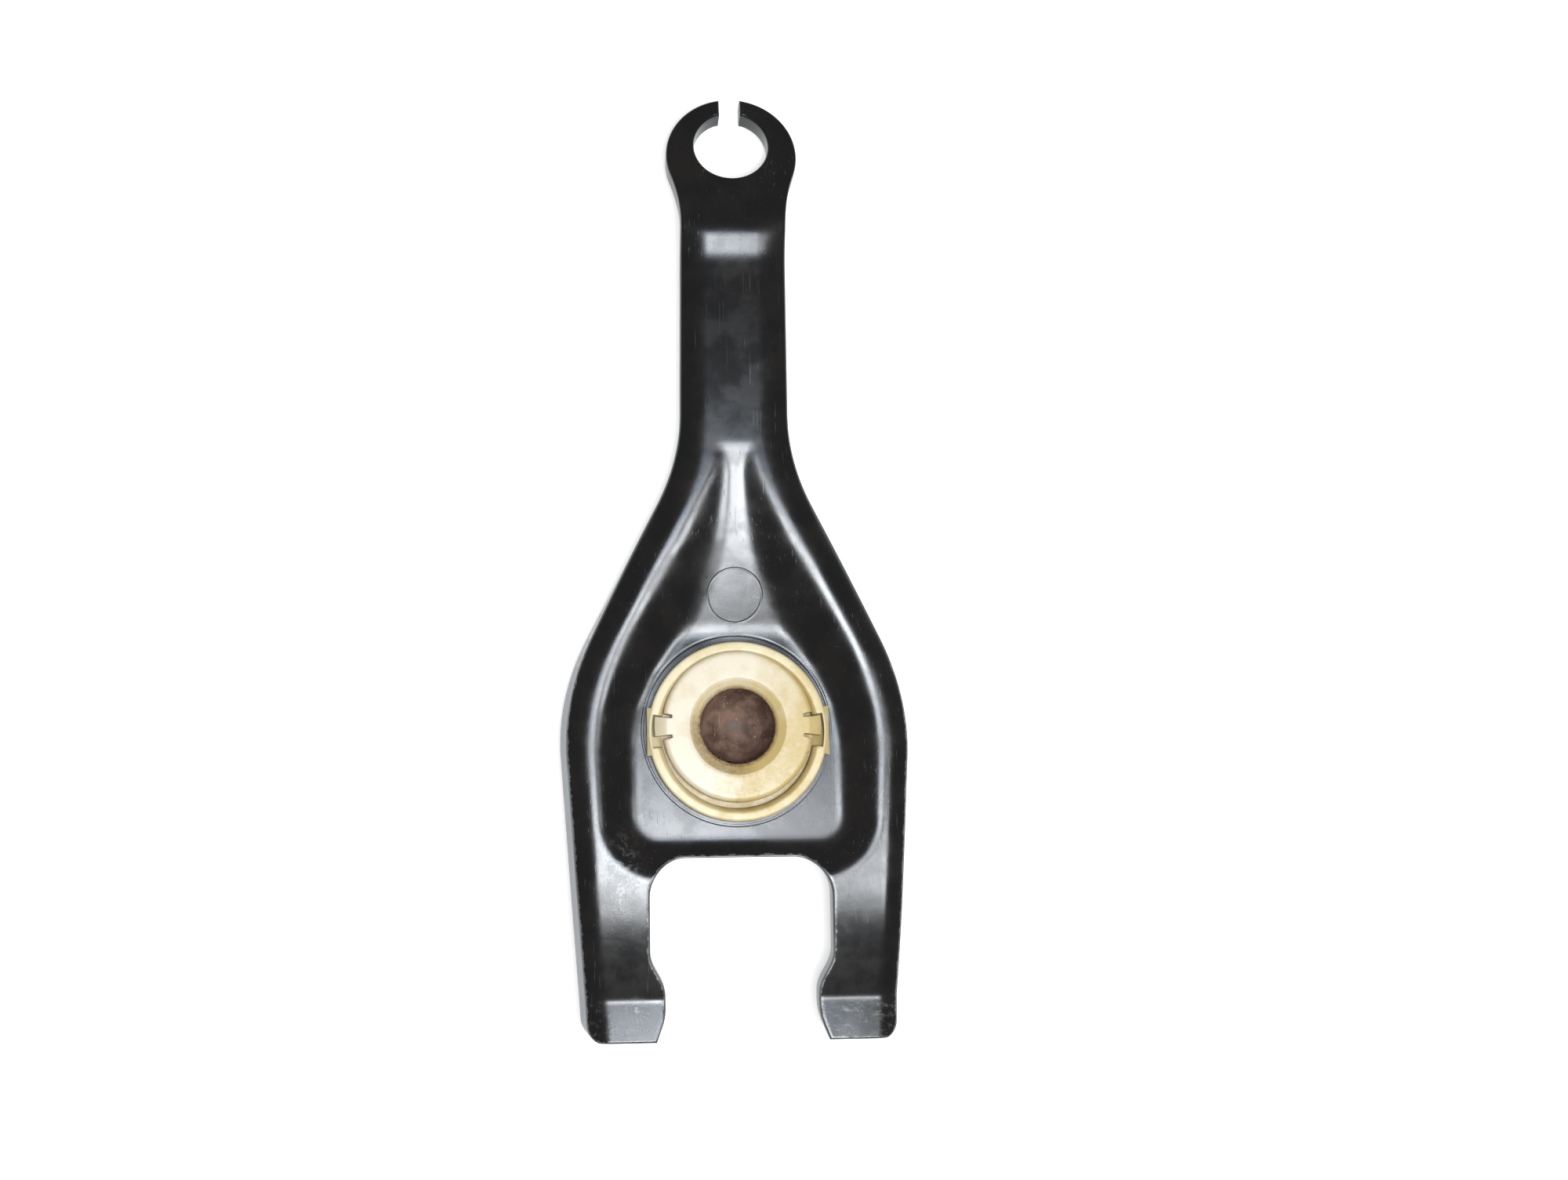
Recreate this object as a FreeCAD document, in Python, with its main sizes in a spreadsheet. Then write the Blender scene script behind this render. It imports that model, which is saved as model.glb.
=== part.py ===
import math
import os

import FreeCAD
import Part
import Sketcher

# Clutch fork: a pressed steel lever with a split cable eye at one end, two prongs at the
# other and a ball cup between them, in which a clipped plastic holder keeps a plastic guide.
# X is across the fork, Y runs from the prongs to the eye, Z leaves the side that carries
# the ball cup. The origin is the centre of the pivot ball. Lengths are millimetres.
# A "station" is a distance along the fork measured from the prong ends.

os.makedirs("parts", exist_ok=True)
doc = FreeCAD.newDocument("clutch_fork")
Vector, Rotation, Placement = FreeCAD.Vector, FreeCAD.Rotation, FreeCAD.Placement

SIZES = {
    # steel blank, seen in plan
    "sheet_gauge": 4.5,
    "pivot_station": 64.0,
    "tip_half": 33.3,
    "tip_corner": 3.0,
    "side_taper": 4.2,
    "shoulder_station": 70.0,
    "shoulder_round": 45.0,
    "flank_angle": 27.8,
    "neck_round": 39.0,
    "arm_half": 11.7,
    "arm_taper": 0.5,
    # slot between the prongs
    "slot_half": 19.0,
    "slot_depth": 36.7,
    "slot_round": 7.6,
    "lobe_half": 15.9,
    "lobe_mouth": 18.0,
    "lobe_low": 6.0,
    "lobe_high": 10.6,
    "lobe_root": 16.2,
    "lobe_round": 2.5,
    # pressing, from the side
    "tip_lift": 17.0,
    "tip_bend": 8.2,
    "pad_inset": 0.25,
    "pad_wide": 11.0,
    "joggle_station": 167.0,
    "joggle_angle": 13.0,
    "eye_bend": 171.0,
    "eye_slope": 16.5,
    "body_lift": 8.0,
    # pressing, across the fork
    "form_margin": 3.0,
    "rail_crest": 6.6,
    "rail_drop": 2.9,
    "arm_crest": 4.6,
    "arm_drop": 1.9,
    "arm_thinning": 1.9,
    # recess
    "groove_start": 124.5,
    "ramp_slope": 7.0,
    "valley_station": 83.9,
    "seat_tilt": 8.0,
    "seat_end": 41.0,
    "seat_half": 20.6,
    "seat_corner": 4.0,
    "witness_station": 91.8,
    "witness_radius": 5.85,
    "witness_wide": 0.4,
    "witness_deep": 0.25,
    # cable eye, in the plane of the bent end
    "eye_reach": 16.9,
    "eye_radius": 14.15,
    "eye_hole": 8.25,
    "eye_gap": 4.5,
    "eye_neck_round": 8.0,
    # ball cup
    "ball_radius": 8.5,
    "ball_height": 2.4,
    "cup_gap": 0.1,
    "dome_wall": 3.6,
    # plastic holder
    "holder_shift": 1.0,
    "holder_radius": 19.0,
    "holder_wall": 1.9,
    "holder_height": 3.4,
    "rim_round": 0.8,
    "flange_thick": 0.8,
    "flange_inner": 13.0,
    "leg_width": 9.9,
    "leg_out": 1.0,
    "leg_thick": 2.4,
    "leg_gap": 0.2,
    "hook_out": 1.2,
    "hook_tall": 2.4,
    "coin_gap": 0.7,
    "coin_wide": 0.7,
    "coin_deep": 0.3,
    # plastic ball guide
    "guide_radius": 16.0,
    "guide_top": 4.2,
    "guide_mouth": 10.25,
    "guide_edge": 0.5,
    "lip_half": 0.6,
    "lug_width": 3.8,
    "lug_out": 1.7,
    "lug_gap": 0.6,
    "slit_wide": 0.9,
    "slit_deep": 1.9,
}

sheet = doc.addObject("Spreadsheet::Sheet", "sizes")
for row, (name, value) in enumerate(SIZES.items(), start=1):
    sheet.set("A%d" % row, name)
    sheet.set("B%d" % row, str(value))
    sheet.setAlias("B%d" % row, name)
doc.recompute()


class Size(float):
    """Number that keeps the formula, in cells of the sheet, that it comes from."""

    def __new__(cls, value, formula):
        made = super().__new__(cls, value)
        made.formula = formula
        return made

    def __add__(self, other):
        return joined(self, "+", other, float(self) + float(other))

    def __radd__(self, other):
        return joined(other, "+", self, float(other) + float(self))

    def __sub__(self, other):
        return joined(self, "-", other, float(self) - float(other))

    def __rsub__(self, other):
        return joined(other, "-", self, float(other) - float(self))

    def __mul__(self, other):
        return joined(self, "*", other, float(self) * float(other))

    def __rmul__(self, other):
        return joined(other, "*", self, float(other) * float(self))

    def __truediv__(self, other):
        return joined(self, "/", other, float(self) / float(other))

    def __neg__(self):
        return Size(-float(self), "(0 - %s)" % self.formula)


def joined(a, sign, b, value):
    return Size(value, "(%s %s %s)" % (formula_of(a), sign, formula_of(b)))


def formula_of(value):
    return value.formula if isinstance(value, Size) else "%.9g" % value


def size(name):
    """Value of a cell as a plain number."""
    return float(sheet.get(name))


def cell(name):
    """Value of a cell that what is built from it stays bound to."""
    return Size(size(name), "sizes." + name)


def function_of(name, value, argument):
    if isinstance(argument, Size):
        return Size(value, "%s(%s)" % (name, argument.formula))
    return value


def tan(degrees):
    return function_of("tan", math.tan(math.radians(degrees)), degrees)


def cos(degrees):
    return function_of("cos", math.cos(math.radians(degrees)), degrees)


def sin(degrees):
    return function_of("sin", math.sin(math.radians(degrees)), degrees)


def root(value):
    return function_of("sqrt", math.sqrt(value), value)


def blend(low, high, x):
    """0 below low, 1 above high, and an even S between them."""
    t = min(1.0, max(0.0, (x - low) / (high - low)))
    return t * t * t * (t * (6 * t - 15) + 10)


def along(knots, x):
    """Value at x of a chain of straight lines through the knots."""
    if x <= knots[0][0]:
        return knots[0][1]
    for (x0, y0), (x1, y1) in zip(knots, knots[1:]):
        if x <= x1:
            return y0 + (y1 - y0) * (x - x0) / (x1 - x0)
    return knots[-1][1]


# ---- plan outline, as corners with radii -------------------------------------------------

shoulder_half = cell("tip_half") + cell("shoulder_station") * tan(cell("side_taper"))
# the straight flank runs from the shoulder corner in to the half width of the arm
neck_station = cell("shoulder_station") + (shoulder_half - cell("arm_half")) / tan(
    cell("flank_angle")
)
arm_end_half = cell("arm_half") - (cell("eye_bend") - neck_station) * tan(cell("arm_taper"))
outline_right = [
    (cell("tip_half"), 0, cell("tip_corner")),
    (shoulder_half, cell("shoulder_station"), cell("shoulder_round")),
    (cell("arm_half"), neck_station, cell("neck_round")),
    (arm_end_half, cell("eye_bend"), 0),
]
taper, flank, arm_slope = tan(size("side_taper")), tan(size("flank_angle")), tan(size("arm_taper"))
corner_half, corner_station = float(shoulder_half), float(neck_station)


def half_width(station):
    """Half width of the plan outline, used to keep the pressing parallel to it."""
    lines = [
        size("tip_half") + station * taper,
        corner_half - (station - size("shoulder_station")) * flank,
        size("arm_half") - (station - corner_station) * arm_slope,
    ]
    # rounding of a corner by a smooth minimum or maximum as wide as the tangent length
    wide = size("shoulder_round") * tan((size("side_taper") + size("flank_angle")) / 2)
    near = size("neck_round") * tan(size("flank_angle") / 2)
    low = soft(lines[0], lines[1], wide * (taper + flank))
    return -soft(-low, -lines[2], near * (flank - arm_slope))


def soft(a, b, width):
    """Smaller of two values, rounded over the given width."""
    gap = max(0.0, width - abs(a - b))
    return min(a, b) - gap * gap / (4 * width)


# ---- pressed form: heights of the cup side ----------------------------------------------

joggle, bend = size("joggle_station"), size("eye_bend")
slopes = [
    (0.0, -size("tip_lift")),
    (size("tip_bend") - 0.6, -size("tip_lift")),
    (size("tip_bend") + 0.6, 2.0),
    (2 * size("tip_bend"), 1.0),
    (26.0, -4.0),
    (33.0, -6.0),
    (45.0, -size("body_lift")),
    (size("pivot_station"), -0.8 * size("body_lift")),
    (size("valley_station"), -0.35 * size("body_lift")),
    (size("valley_station") + 20.0, 0.0),
    (joggle - 4.5, 0.0),
    (joggle - 1.5, size("joggle_angle")),
    (joggle + 1.5, size("joggle_angle")),
    (bend + 1.5, -size("eye_slope")),
    (300.0, -size("eye_slope")),
]


def spine(station):
    """Height of the rails and of the arm: the slopes added up, zero on the flat of the arm."""
    flat = 0.5 * (size("valley_station") + 20.0 + joggle - 4.5)
    low, high = min(flat, station), max(flat, station)
    stops = [low] + [s for s, _ in slopes if low < s < high] + [high]
    rise = sum(
        (b - a) * 0.5 * (tan(along(slopes, a)) + tan(along(slopes, b)))
        for a, b in zip(stops, stops[1:])
    )
    return rise if station > flat else -rise


valley = size("valley_station")
ramp_foot = -(size("groove_start") - valley) * tan(size("ramp_slope"))


def floor_height(station):
    """Ramp down from the arm, then the seat for the holder, with a rounded valley."""
    ramp = ramp_foot + (station - valley) * tan(size("ramp_slope"))
    seat = ramp_foot + (valley - station) * tan(size("seat_tilt"))
    return -soft(-ramp, -seat, 0.55)


start, half = size("groove_start"), size("seat_half")
floor_edges = [
    (size("seat_end"), half),
    (size("pivot_station") - 4, half - 0.3),
    (size("pivot_station") + 4, half - 1.3),
    (valley - 8, half - 3.4),
    (valley, half - 7.2),
    (size("witness_station"), half - 9.7),
    (start - 22.5, half * 0.33),
    (start - 16.5, half * 0.165),
    (start - 11.5, half * 0.075),
    (start - 6.5, half * 0.07),
    (start - 3.0, half * 0.1),
    (start - 0.5, half * 0.16),
    (start + 1.5, half * 0.2),
]


def form_half(station):
    """Half width of the pressed form, a little more than the blank."""
    eye = size("eye_radius") + size("form_margin")
    grow = blend(joggle - 5, bend + 3, station)
    return (1 - grow) * (half_width(min(station, bend)) + size("form_margin")) + grow * eye


def form_shape(x, station):
    """Height of the cup side, and how much thinner than the gauge the sheet is there."""
    x = abs(x)
    wide = half_width(min(station, bend))
    tilt = half_width(min(station, bend) + 0.5) - half_width(min(station, bend) - 0.5)
    edge = (wide - x) / math.hypot(1.0, tilt)
    arm = blend(start - 20, start + 6, station)
    eye = blend(joggle - 6, bend + 1, station)
    crest = size("rail_crest") + arm * (size("arm_crest") - size("rail_crest"))
    drop = size("rail_drop") + arm * (size("arm_drop") - size("rail_drop"))
    outer = max(0.0, (crest - edge) / crest)
    height = spine(station) - (1 - eye) * drop * outer * outer

    # walls of the recess: an S from the floor up to the rails
    floor_half = along(floor_edges, station)
    rail = wide - crest * math.hypot(1.0, tilt)
    wall = min(max(rail - floor_half, 3.0), 3.0 + 0.45 * max(0.0, start - station))
    corner = size("seat_corner")
    dx = (x - floor_half) / math.hypot(1.0, tilt) + corner
    dy = size("seat_end") - station + corner
    away = math.hypot(max(dx, 0), max(dy, 0)) + min(max(dx, dy), 0) - corner
    depth = max(0.0, spine(station) - floor_height(station))
    fade = 1 - blend(start - 2, start + 1, station)
    height -= depth * fade * (1 - blend(0.0, wall, away))
    thinner = size("arm_thinning") * arm * (1 - eye) * outer * outer
    return height, thinner


# the seat passes through the foot of the ball's axis, which puts the ball's centre at zero
seat_foot = cell("pivot_station") - cell("ball_height") * sin(cell("seat_tilt"))
ramp_drop = (cell("groove_start") - cell("valley_station")) * tan(cell("ramp_slope"))
seat_drop = ramp_drop - (cell("valley_station") - seat_foot) * tan(cell("seat_tilt"))
form_lift = seat_drop - cell("ball_height") * cos(cell("seat_tilt"))
lift = float(form_lift)


# where the grid has its points: percent of the half width, and steps along the fork
ACROSS = (0, 4, 8, 13, 19, 26, 34, 42, 50, 58, 66, 74, 81, 87, 93, 100)
FINE_STEP, COARSE_STEP = 1.1, 3.6


def form_points(side):
    """Grid of points on the cup side (0) or the back (1) of the pressed form."""
    across = [i / 100.0 for i in ACROSS]
    across = [-u for u in reversed(across[1:])] + across
    end = bend + (size("eye_reach") + size("eye_radius")) * cos(size("eye_slope")) + 3
    stations = [-4.0]
    while stations[-1] < end:
        s = stations[-1]
        near = min(
            abs(s + 0.8 - mark)
            for mark in (size("tip_bend"), valley, start, joggle, bend)
        )
        stations.append(s + (FINE_STEP if near < 3.5 else COARSE_STEP))
    rows = []
    for s in stations:
        row = []
        for u in across:
            x = u * form_half(s)
            z, thinner = form_shape(x, s)
            if side:
                dx = (form_shape(x + 0.2, s)[0] - form_shape(x - 0.2, s)[0]) / 0.4
                dy = (form_shape(x, s + 0.2)[0] - form_shape(x, s - 0.2)[0]) / 0.4
                z -= (size("sheet_gauge") - thinner) * math.sqrt(1 + dx * dx + dy * dy)
            row.append(Vector(x, s - size("pivot_station"), z + lift))
        rows.append(row)
    return rows


def pressed_form():
    """Closed solid between the cup side and the back of the oversize pressing."""
    faces, grids = [], [form_points(0), form_points(1)]
    for grid in grids:
        surface = Part.BSplineSurface()
        surface.interpolate(grid)
        faces.append(surface.toShape())
    top, back = (sorted_edges(face) for face in faces)
    for a, b in zip(top, back):
        faces.append(Part.makeRuledSurface(a, b))
    shell = Part.makeShell(faces)
    shell.sewShape()
    solid = Part.makeSolid(shell)
    if solid.Volume < 0:
        solid.reverse()
    return solid


def sorted_edges(face):
    """Border edges of a grid face in the order -X, +X, -Y, +Y."""
    edges = face.Edges
    by_x = sorted(edges, key=lambda e: e.CenterOfMass.x)
    rest = [e for e in edges if not e.isSame(by_x[0]) and not e.isSame(by_x[-1])]
    return [by_x[0], by_x[-1]] + sorted(rest, key=lambda e: e.CenterOfMass.y)


# ---- helpers for bodies ------------------------------------------------------------------


def new_body(name):
    body = doc.addObject("PartDesign::Body", name)
    body.Label = name
    return body


def place(thing, path, y=0, z=0, turn=0, about=1):
    """Puts a thing on the middle plane at y and z, turned about +X or -X."""
    turned_by = Rotation(Vector(about, 0, 0), float(turn))
    setattr(thing, path, Placement(Vector(0, y, z), turned_by))
    for name, value in (("Base.y", y), ("Base.z", z), ("Rotation.Angle", turn)):
        if isinstance(value, Size):
            thing.setExpression(path + "." + name, value.formula)


def new_sketch(body, name, role="XY_Plane", **where):
    sketch = body.newObject("Sketcher::SketchObject", name)
    plane = [f for f in body.Origin.OriginFeatures if f.Role == role][0]
    sketch.AttachmentSupport = [(plane, "")]
    sketch.MapMode = "FlatFace"
    place(sketch, "AttachmentOffset", **where)
    return sketch


def bind(sketch, kind, where, value):
    """Adds a dimension and ties it to the cells that its value comes from."""
    index = sketch.addConstraint(Sketcher.Constraint(kind, *where, float(value)))
    if isinstance(value, Size):
        sketch.setExpression("Constraints[%d]" % index, value.formula)


def pin(sketch, geometry, end, x, y):
    """Dimensions a point of the sketch from its origin."""
    for kind, value, axis in (("DistanceX", x, -2), ("DistanceY", y, -1)):
        if value == 0:
            sketch.addConstraint(Sketcher.Constraint("PointOnObject", geometry, end, axis))
        else:
            bind(sketch, kind, (-1, 1, geometry, end), value)


def meeting_ends(sketch, a, b):
    """Ends (1 start, 2 end) at which two pieces of a sketch meet."""
    pairs = [(p, q) for p in (1, 2) for q in (1, 2)]
    return min(
        pairs,
        key=lambda ends: (sketch.getPoint(a, ends[0]) - sketch.getPoint(b, ends[1])).Length,
    )


def join(sketch, a, b, kind):
    p, q = meeting_ends(sketch, a, b)
    sketch.addConstraint(Sketcher.Constraint(kind, a, p, b, q))


def draw(sketch, corners):
    """Closed loop through (x, y) or (x, y, radius) corners: sides and tangent arcs."""
    corners = [(corner + (0,))[:3] for corner in corners]
    count, stops = len(corners), []
    for i, (x, y, radius) in enumerate(corners):
        stop = (Vector(x, y, 0),) * 3
        if radius:
            stop = tangent_points(corners[i - 1], corners[i], corners[(i + 1) % count])
        stops.append(stop)
    sides = [
        sketch.addGeometry(Part.LineSegment(stops[i][2], stops[(i + 1) % count][0]), False)
        for i in range(count)
    ]
    for i, (x, y, radius) in enumerate(corners):
        before, after = sides[i - 1], sides[i]
        if not radius:
            sketch.addConstraint(Sketcher.Constraint("Coincident", before, 2, after, 1))
            pin(sketch, after, 1, x, y)
            continue
        arc = sketch.addGeometry(Part.Arc(*stops[i]), False)
        join(sketch, before, arc, "Tangent")
        join(sketch, after, arc, "Tangent")
        bind(sketch, "Radius", (arc,), radius)
        corner = sketch.addGeometry(Part.Point(Vector(x, y, 0)), True)
        for side in (before, after):
            sketch.addConstraint(Sketcher.Constraint("PointOnObject", corner, 1, side))
        pin(sketch, corner, 1, x, y)


def tangent_points(before, corner, after):
    """Where the rounding of a corner leaves its first side, its middle and its end."""
    at = Vector(corner[0], corner[1], 0)
    a = (Vector(before[0], before[1], 0) - at).normalize()
    b = (Vector(after[0], after[1], 0) - at).normalize()
    half, radius = a.getAngle(b) / 2, float(corner[2])
    reach = radius / math.tan(half)
    centre = at + (a + b).normalize() * (radius / math.sin(half))
    return at + a * reach, centre + (at - centre).normalize() * radius, at + b * reach


def mirrored(right):
    """Closes a chain of right-hand corners with its mirror image."""
    return right + [(-c[0],) + c[1:] for c in reversed(right)]


def rectangle(sketch, x0, x1, y0, y1):
    draw(sketch, [(x0, y0), (x1, y0), (x1, y1), (x0, y1)])


def pocket(body, sketch, name, length=None, reverse=False):
    """Cut to a length on one side of the sketch or, with no length, right through."""
    cut = body.newObject("PartDesign::Pocket", name)
    cut.Profile = sketch
    cut.Length = THROUGH if length is None else float(length)
    if length is None:
        cut.SideType = "Symmetric"
    elif isinstance(length, Size):
        cut.setExpression("Length", length.formula)
    cut.Reversed = reverse
    return cut


def pad(body, sketch, name, length):
    add = body.newObject("PartDesign::Pad", name)
    add.Profile = sketch
    add.Length = float(length)
    add.setExpression("Length", length.formula)
    return add


def turned(body, sketch, name, cut=False):
    kind = "PartDesign::Groove" if cut else "PartDesign::Revolution"
    feature = body.newObject(kind, name)
    feature.Profile = sketch
    feature.ReferenceAxis = (sketch, ["V_Axis"])
    feature.Angle = 360.0
    return feature


def ball(body, name, radius, cut=False, top=None, **where):
    """Sphere about the pivot centre, added up to a height along its axis or cut whole."""
    kind = "PartDesign::SubtractiveSphere" if cut else "PartDesign::AdditiveSphere"
    feature = body.newObject(kind, name)
    feature.Radius = float(radius)
    feature.setExpression("Radius", radius.formula)
    if top is not None:
        latitude = math.degrees(math.asin(top / radius))
        feature.Angle2 = latitude
        feature.setExpression("Angle2", "asin(%s / %s)" % (top.formula, radius.formula))
    place(feature, "Placement", **where)
    return feature


# ---- fork --------------------------------------------------------------------------------

THROUGH = 200.0  # longer than anything that is cut right through
BESIDE = 90.0  # beside and beyond the whole pressing

form = doc.addObject("Part::Feature", "pressed_form")
form.Shape = pressed_form()

fork = new_body("fork")
fork.BaseFeature = form
doc.recompute()

pivot = cell("pivot_station")
gauge = cell("sheet_gauge")

# blanking: all outside the plan outline goes, the bent end is left wide for its own cut
blank = new_sketch(fork, "blank_outline", y=-pivot)
beyond_eye = cell("eye_bend") + 2 * cell("eye_reach") + 2 * cell("eye_radius")
eye_side = cell("eye_radius") + 2 * cell("form_margin")
draw(blank, mirrored(outline_right + [(eye_side, cell("eye_bend")), (eye_side, beyond_eye)]))
rectangle(blank, -BESIDE, BESIDE, -BESIDE, beyond_eye + BESIDE)
pocket(fork, blank, "blanking")

# slot between the prongs, with a lobe on each side near the mouth
slot = new_sketch(fork, "prong_slot", y=-pivot)
slot_right = [
    (cell("lobe_mouth") + 1.4, -4, 0),
    (cell("lobe_half"), cell("lobe_low"), cell("lobe_round")),
    (cell("lobe_half"), cell("lobe_high"), cell("lobe_round")),
    (cell("slot_half"), cell("lobe_root"), cell("lobe_round")),
    (cell("slot_half"), cell("slot_depth"), cell("slot_round")),
]
draw(slot, mirrored(slot_right))
pocket(fork, slot, "prong_slot_cut")

# flats on the backs of the prong ends, where they push the bearing
tip_back = spine(0.0) + lift - (size("sheet_gauge") - size("pad_inset")) / cos(size("tip_lift"))
pads = new_sketch(fork, "pad_flats", y=-pivot, z=tip_back, turn=cell("tip_lift"), about=-1)
pad_inside, pad_outside = cell("lobe_half") - 2, cell("lobe_half") + cell("pad_wide")
for side in (1, -1):
    rectangle(pads, side * pad_inside, side * pad_outside, -3, 2 * cell("tip_bend"))
pocket(fork, pads, "pad_flats_cut", length=gauge)

# bent end: its sketches lie in the plane of the cup side beyond the bend
bend_height = spine(bend + 10) + 10 * tan(size("eye_slope")) + lift
in_eye_plane = {
    "y": cell("eye_bend") - pivot,
    "z": bend_height,
    "turn": cell("eye_slope"),
    "about": -1,
}
reach, radius, fillet = size("eye_reach"), size("eye_radius"), size("eye_neck_round")
neck_half = float(arm_end_half)
fillet_y = reach - math.sqrt((radius + fillet) ** 2 - (neck_half + fillet) ** 2)


def on_circle(centre, radius, towards):
    return centre + (towards - centre).normalize() * radius


def neck_pieces(side):
    """Side of the neck and the fillet that leads it into the round of the eye."""
    foot, top = Vector(side * neck_half, -2, 0), Vector(side * neck_half, fillet_y, 0)
    centre = Vector(side * (neck_half + fillet), fillet_y, 0)
    end = on_circle(centre, fillet, Vector(0, reach, 0))
    middle = on_circle(centre, fillet, 0.5 * (top + end))
    return foot, Part.LineSegment(foot, top), Part.Arc(top, middle, end), end


eye = new_sketch(fork, "eye_outline", **in_eye_plane)
foot, neck, fillet_arc, end = neck_pieces(1)
foot_left, neck_left, fillet_left, end_left = neck_pieces(-1)
ring = Part.Arc(end, Vector(0, reach + radius, 0), end_left)
chain = [eye.addGeometry(g, False) for g in (neck, fillet_arc, ring, fillet_left, neck_left)]
for a, b in zip(chain, chain[1:]):
    join(eye, a, b, "Tangent")
for arc in (chain[1], chain[3]):
    bind(eye, "Radius", (arc,), cell("eye_neck_round"))
bind(eye, "Radius", (chain[2],), cell("eye_radius"))
pin(eye, chain[2], 3, 0, cell("eye_reach"))
eye.addConstraint([Sketcher.Constraint("Vertical", g) for g in (chain[0], chain[4])])
pin(eye, chain[0], 1, arm_end_half, -2)
pin(eye, chain[4], meeting_ends(eye, chain[4], chain[0])[0], -arm_end_half, -2)
# frame round the eye, which closes the loop of what is cut away
frame = [Vector(-BESIDE, -2, 0), Vector(-BESIDE, BESIDE, 0)]
frame = [foot_left] + frame + [Vector(-v.x, v.y, 0) for v in reversed(frame)] + [foot]
before = chain[4]
for a, b in zip(frame, frame[1:]):
    side = eye.addGeometry(Part.LineSegment(a, b), False)
    join(eye, before, side, "Coincident")
    if b is not foot:
        pin(eye, side, 2, b.x, b.y)
    before = side
join(eye, before, chain[0], "Coincident")
pocket(fork, eye, "eye_trim")

# round hole of the eye, and the gap that opens it
hole = new_sketch(fork, "eye_hole", **in_eye_plane)
circle = hole.addGeometry(Part.Circle(Vector(0, reach, 0), Vector(0, 0, 1), size("eye_hole")), False)
bind(hole, "Radius", (circle,), cell("eye_hole"))
pin(hole, circle, 3, 0, cell("eye_reach"))
pocket(fork, hole, "eye_hole_cut")
opening = new_sketch(fork, "eye_gap", **in_eye_plane)
half_gap = cell("eye_gap") / 2
rectangle(opening, -half_gap, half_gap, cell("eye_reach"), cell("eye_reach") + 2 * cell("eye_radius"))
pocket(fork, opening, "eye_gap_cut")

# ball cup: a dome pushed out of the back, hollowed by the ball plus a little play
tilt = cell("seat_tilt")
cup_radius = cell("ball_radius") + cell("cup_gap")
dome_radius = cup_radius + cell("dome_wall")
seat_z = -cell("ball_height")
ball(fork, "dome", dome_radius, top=seat_z - 1, turn=tilt, about=-1)
ball(fork, "cup", cup_radius, cut=True)

# shallow coined ring around the holder, and the round punch mark on the ramp
upright = 90 - tilt
on_seat = {"y": -cell("holder_shift") * cos(tilt), "z": cell("holder_shift") * sin(tilt)}
coin_in = cell("holder_radius") + cell("coin_gap")
coin_out = coin_in + cell("coin_wide")
coin_low = seat_z - cell("coin_deep")
coined = new_sketch(fork, "coined_section", turn=upright, **on_seat)
rectangle(coined, coin_in, coin_out, coin_low, coin_low + 3)
turned(fork, coined, "coined_ring", cut=True)
mark_drop = (cell("groove_start") - cell("witness_station")) * tan(cell("ramp_slope"))
mark = new_sketch(
    fork,
    "witness_section",
    y=cell("witness_station") - pivot,
    z=form_lift - mark_drop,
    turn=90 + cell("ramp_slope"),
)
mark_in, mark_deep = cell("witness_radius") - cell("witness_wide") / 2, cell("witness_deep")
rectangle(mark, mark_in, mark_in + cell("witness_wide"), -mark_deep, 1)
turned(fork, mark, "witness_ring", cut=True)

# openings for the legs of the holder
leg_outer = cell("holder_radius") + cell("leg_out")
leg_inner = leg_outer - cell("leg_thick")
leg_half, play = cell("leg_width") / 2, cell("leg_gap")
openings = new_sketch(fork, "leg_openings", turn=tilt, about=-1, **on_seat)
for side in (1, -1):
    inside, outside = side * (leg_inner - play), side * (leg_outer + play)
    rectangle(openings, inside, outside, -(leg_half + play), leg_half + play)
pocket(fork, openings, "leg_openings_cut")
doc.recompute()

# ---- plastic holder ----------------------------------------------------------------------

holder = new_body("ball_holder")
outer, inner = cell("holder_radius"), cell("holder_radius") - cell("holder_wall")
top, flange = seat_z + cell("holder_height"), seat_z + cell("flange_thick")
section = new_sketch(holder, "holder_section", turn=90)
draw(
    section,
    [
        (cell("flange_inner"), seat_z),
        (outer, seat_z),
        (outer, top, cell("rim_round")),
        (inner, top, cell("rim_round")),
        (inner, flange),
        (cell("flange_inner"), flange),
    ],
)
turned(holder, section, "holder_turned")

# snap legs: straight through the sheet, then a hook turned outward under it
hook_top = seat_z - gauge - play
hook_low = hook_top - cell("hook_tall")
hook_edge = leg_outer + cell("hook_out")
nose = cell("hook_out") / 2
legs = new_sketch(holder, "leg_section", turn=90)
for side in (1, -1):
    draw(
        legs,
        [
            (side * leg_inner, hook_low),
            (side * (leg_outer - nose), hook_low),
            (side * hook_edge, hook_top - nose),
            (side * hook_edge, hook_top),
            (side * leg_outer, hook_top),
            (side * leg_outer, top - cell("rim_round")),
            (side * leg_inner, top - cell("rim_round")),
        ],
    )
legs_pad = pad(holder, legs, "legs", cell("leg_width"))
legs_pad.SideType = "Symmetric"

# notches that the lugs of the guide enter
lug_half = cell("lug_width") / 2
notch_in = cell("guide_radius") - cell("slit_wide")
notch_out = cell("guide_radius") + cell("lug_out") + cell("lug_gap")
notch_half = lug_half + cell("lug_gap") + cell("slit_wide")
notches = new_sketch(holder, "lug_notches", z=flange)
for side in (1, -1):
    rectangle(notches, side * notch_in, side * notch_out, -notch_half, notch_half)
pocket(holder, notches, "lug_notches_cut", length=cell("holder_height"), reverse=True)
place(holder, "Placement", turn=tilt, about=-1, **on_seat)
doc.recompute()

# ---- plastic ball guide ------------------------------------------------------------------

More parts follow.
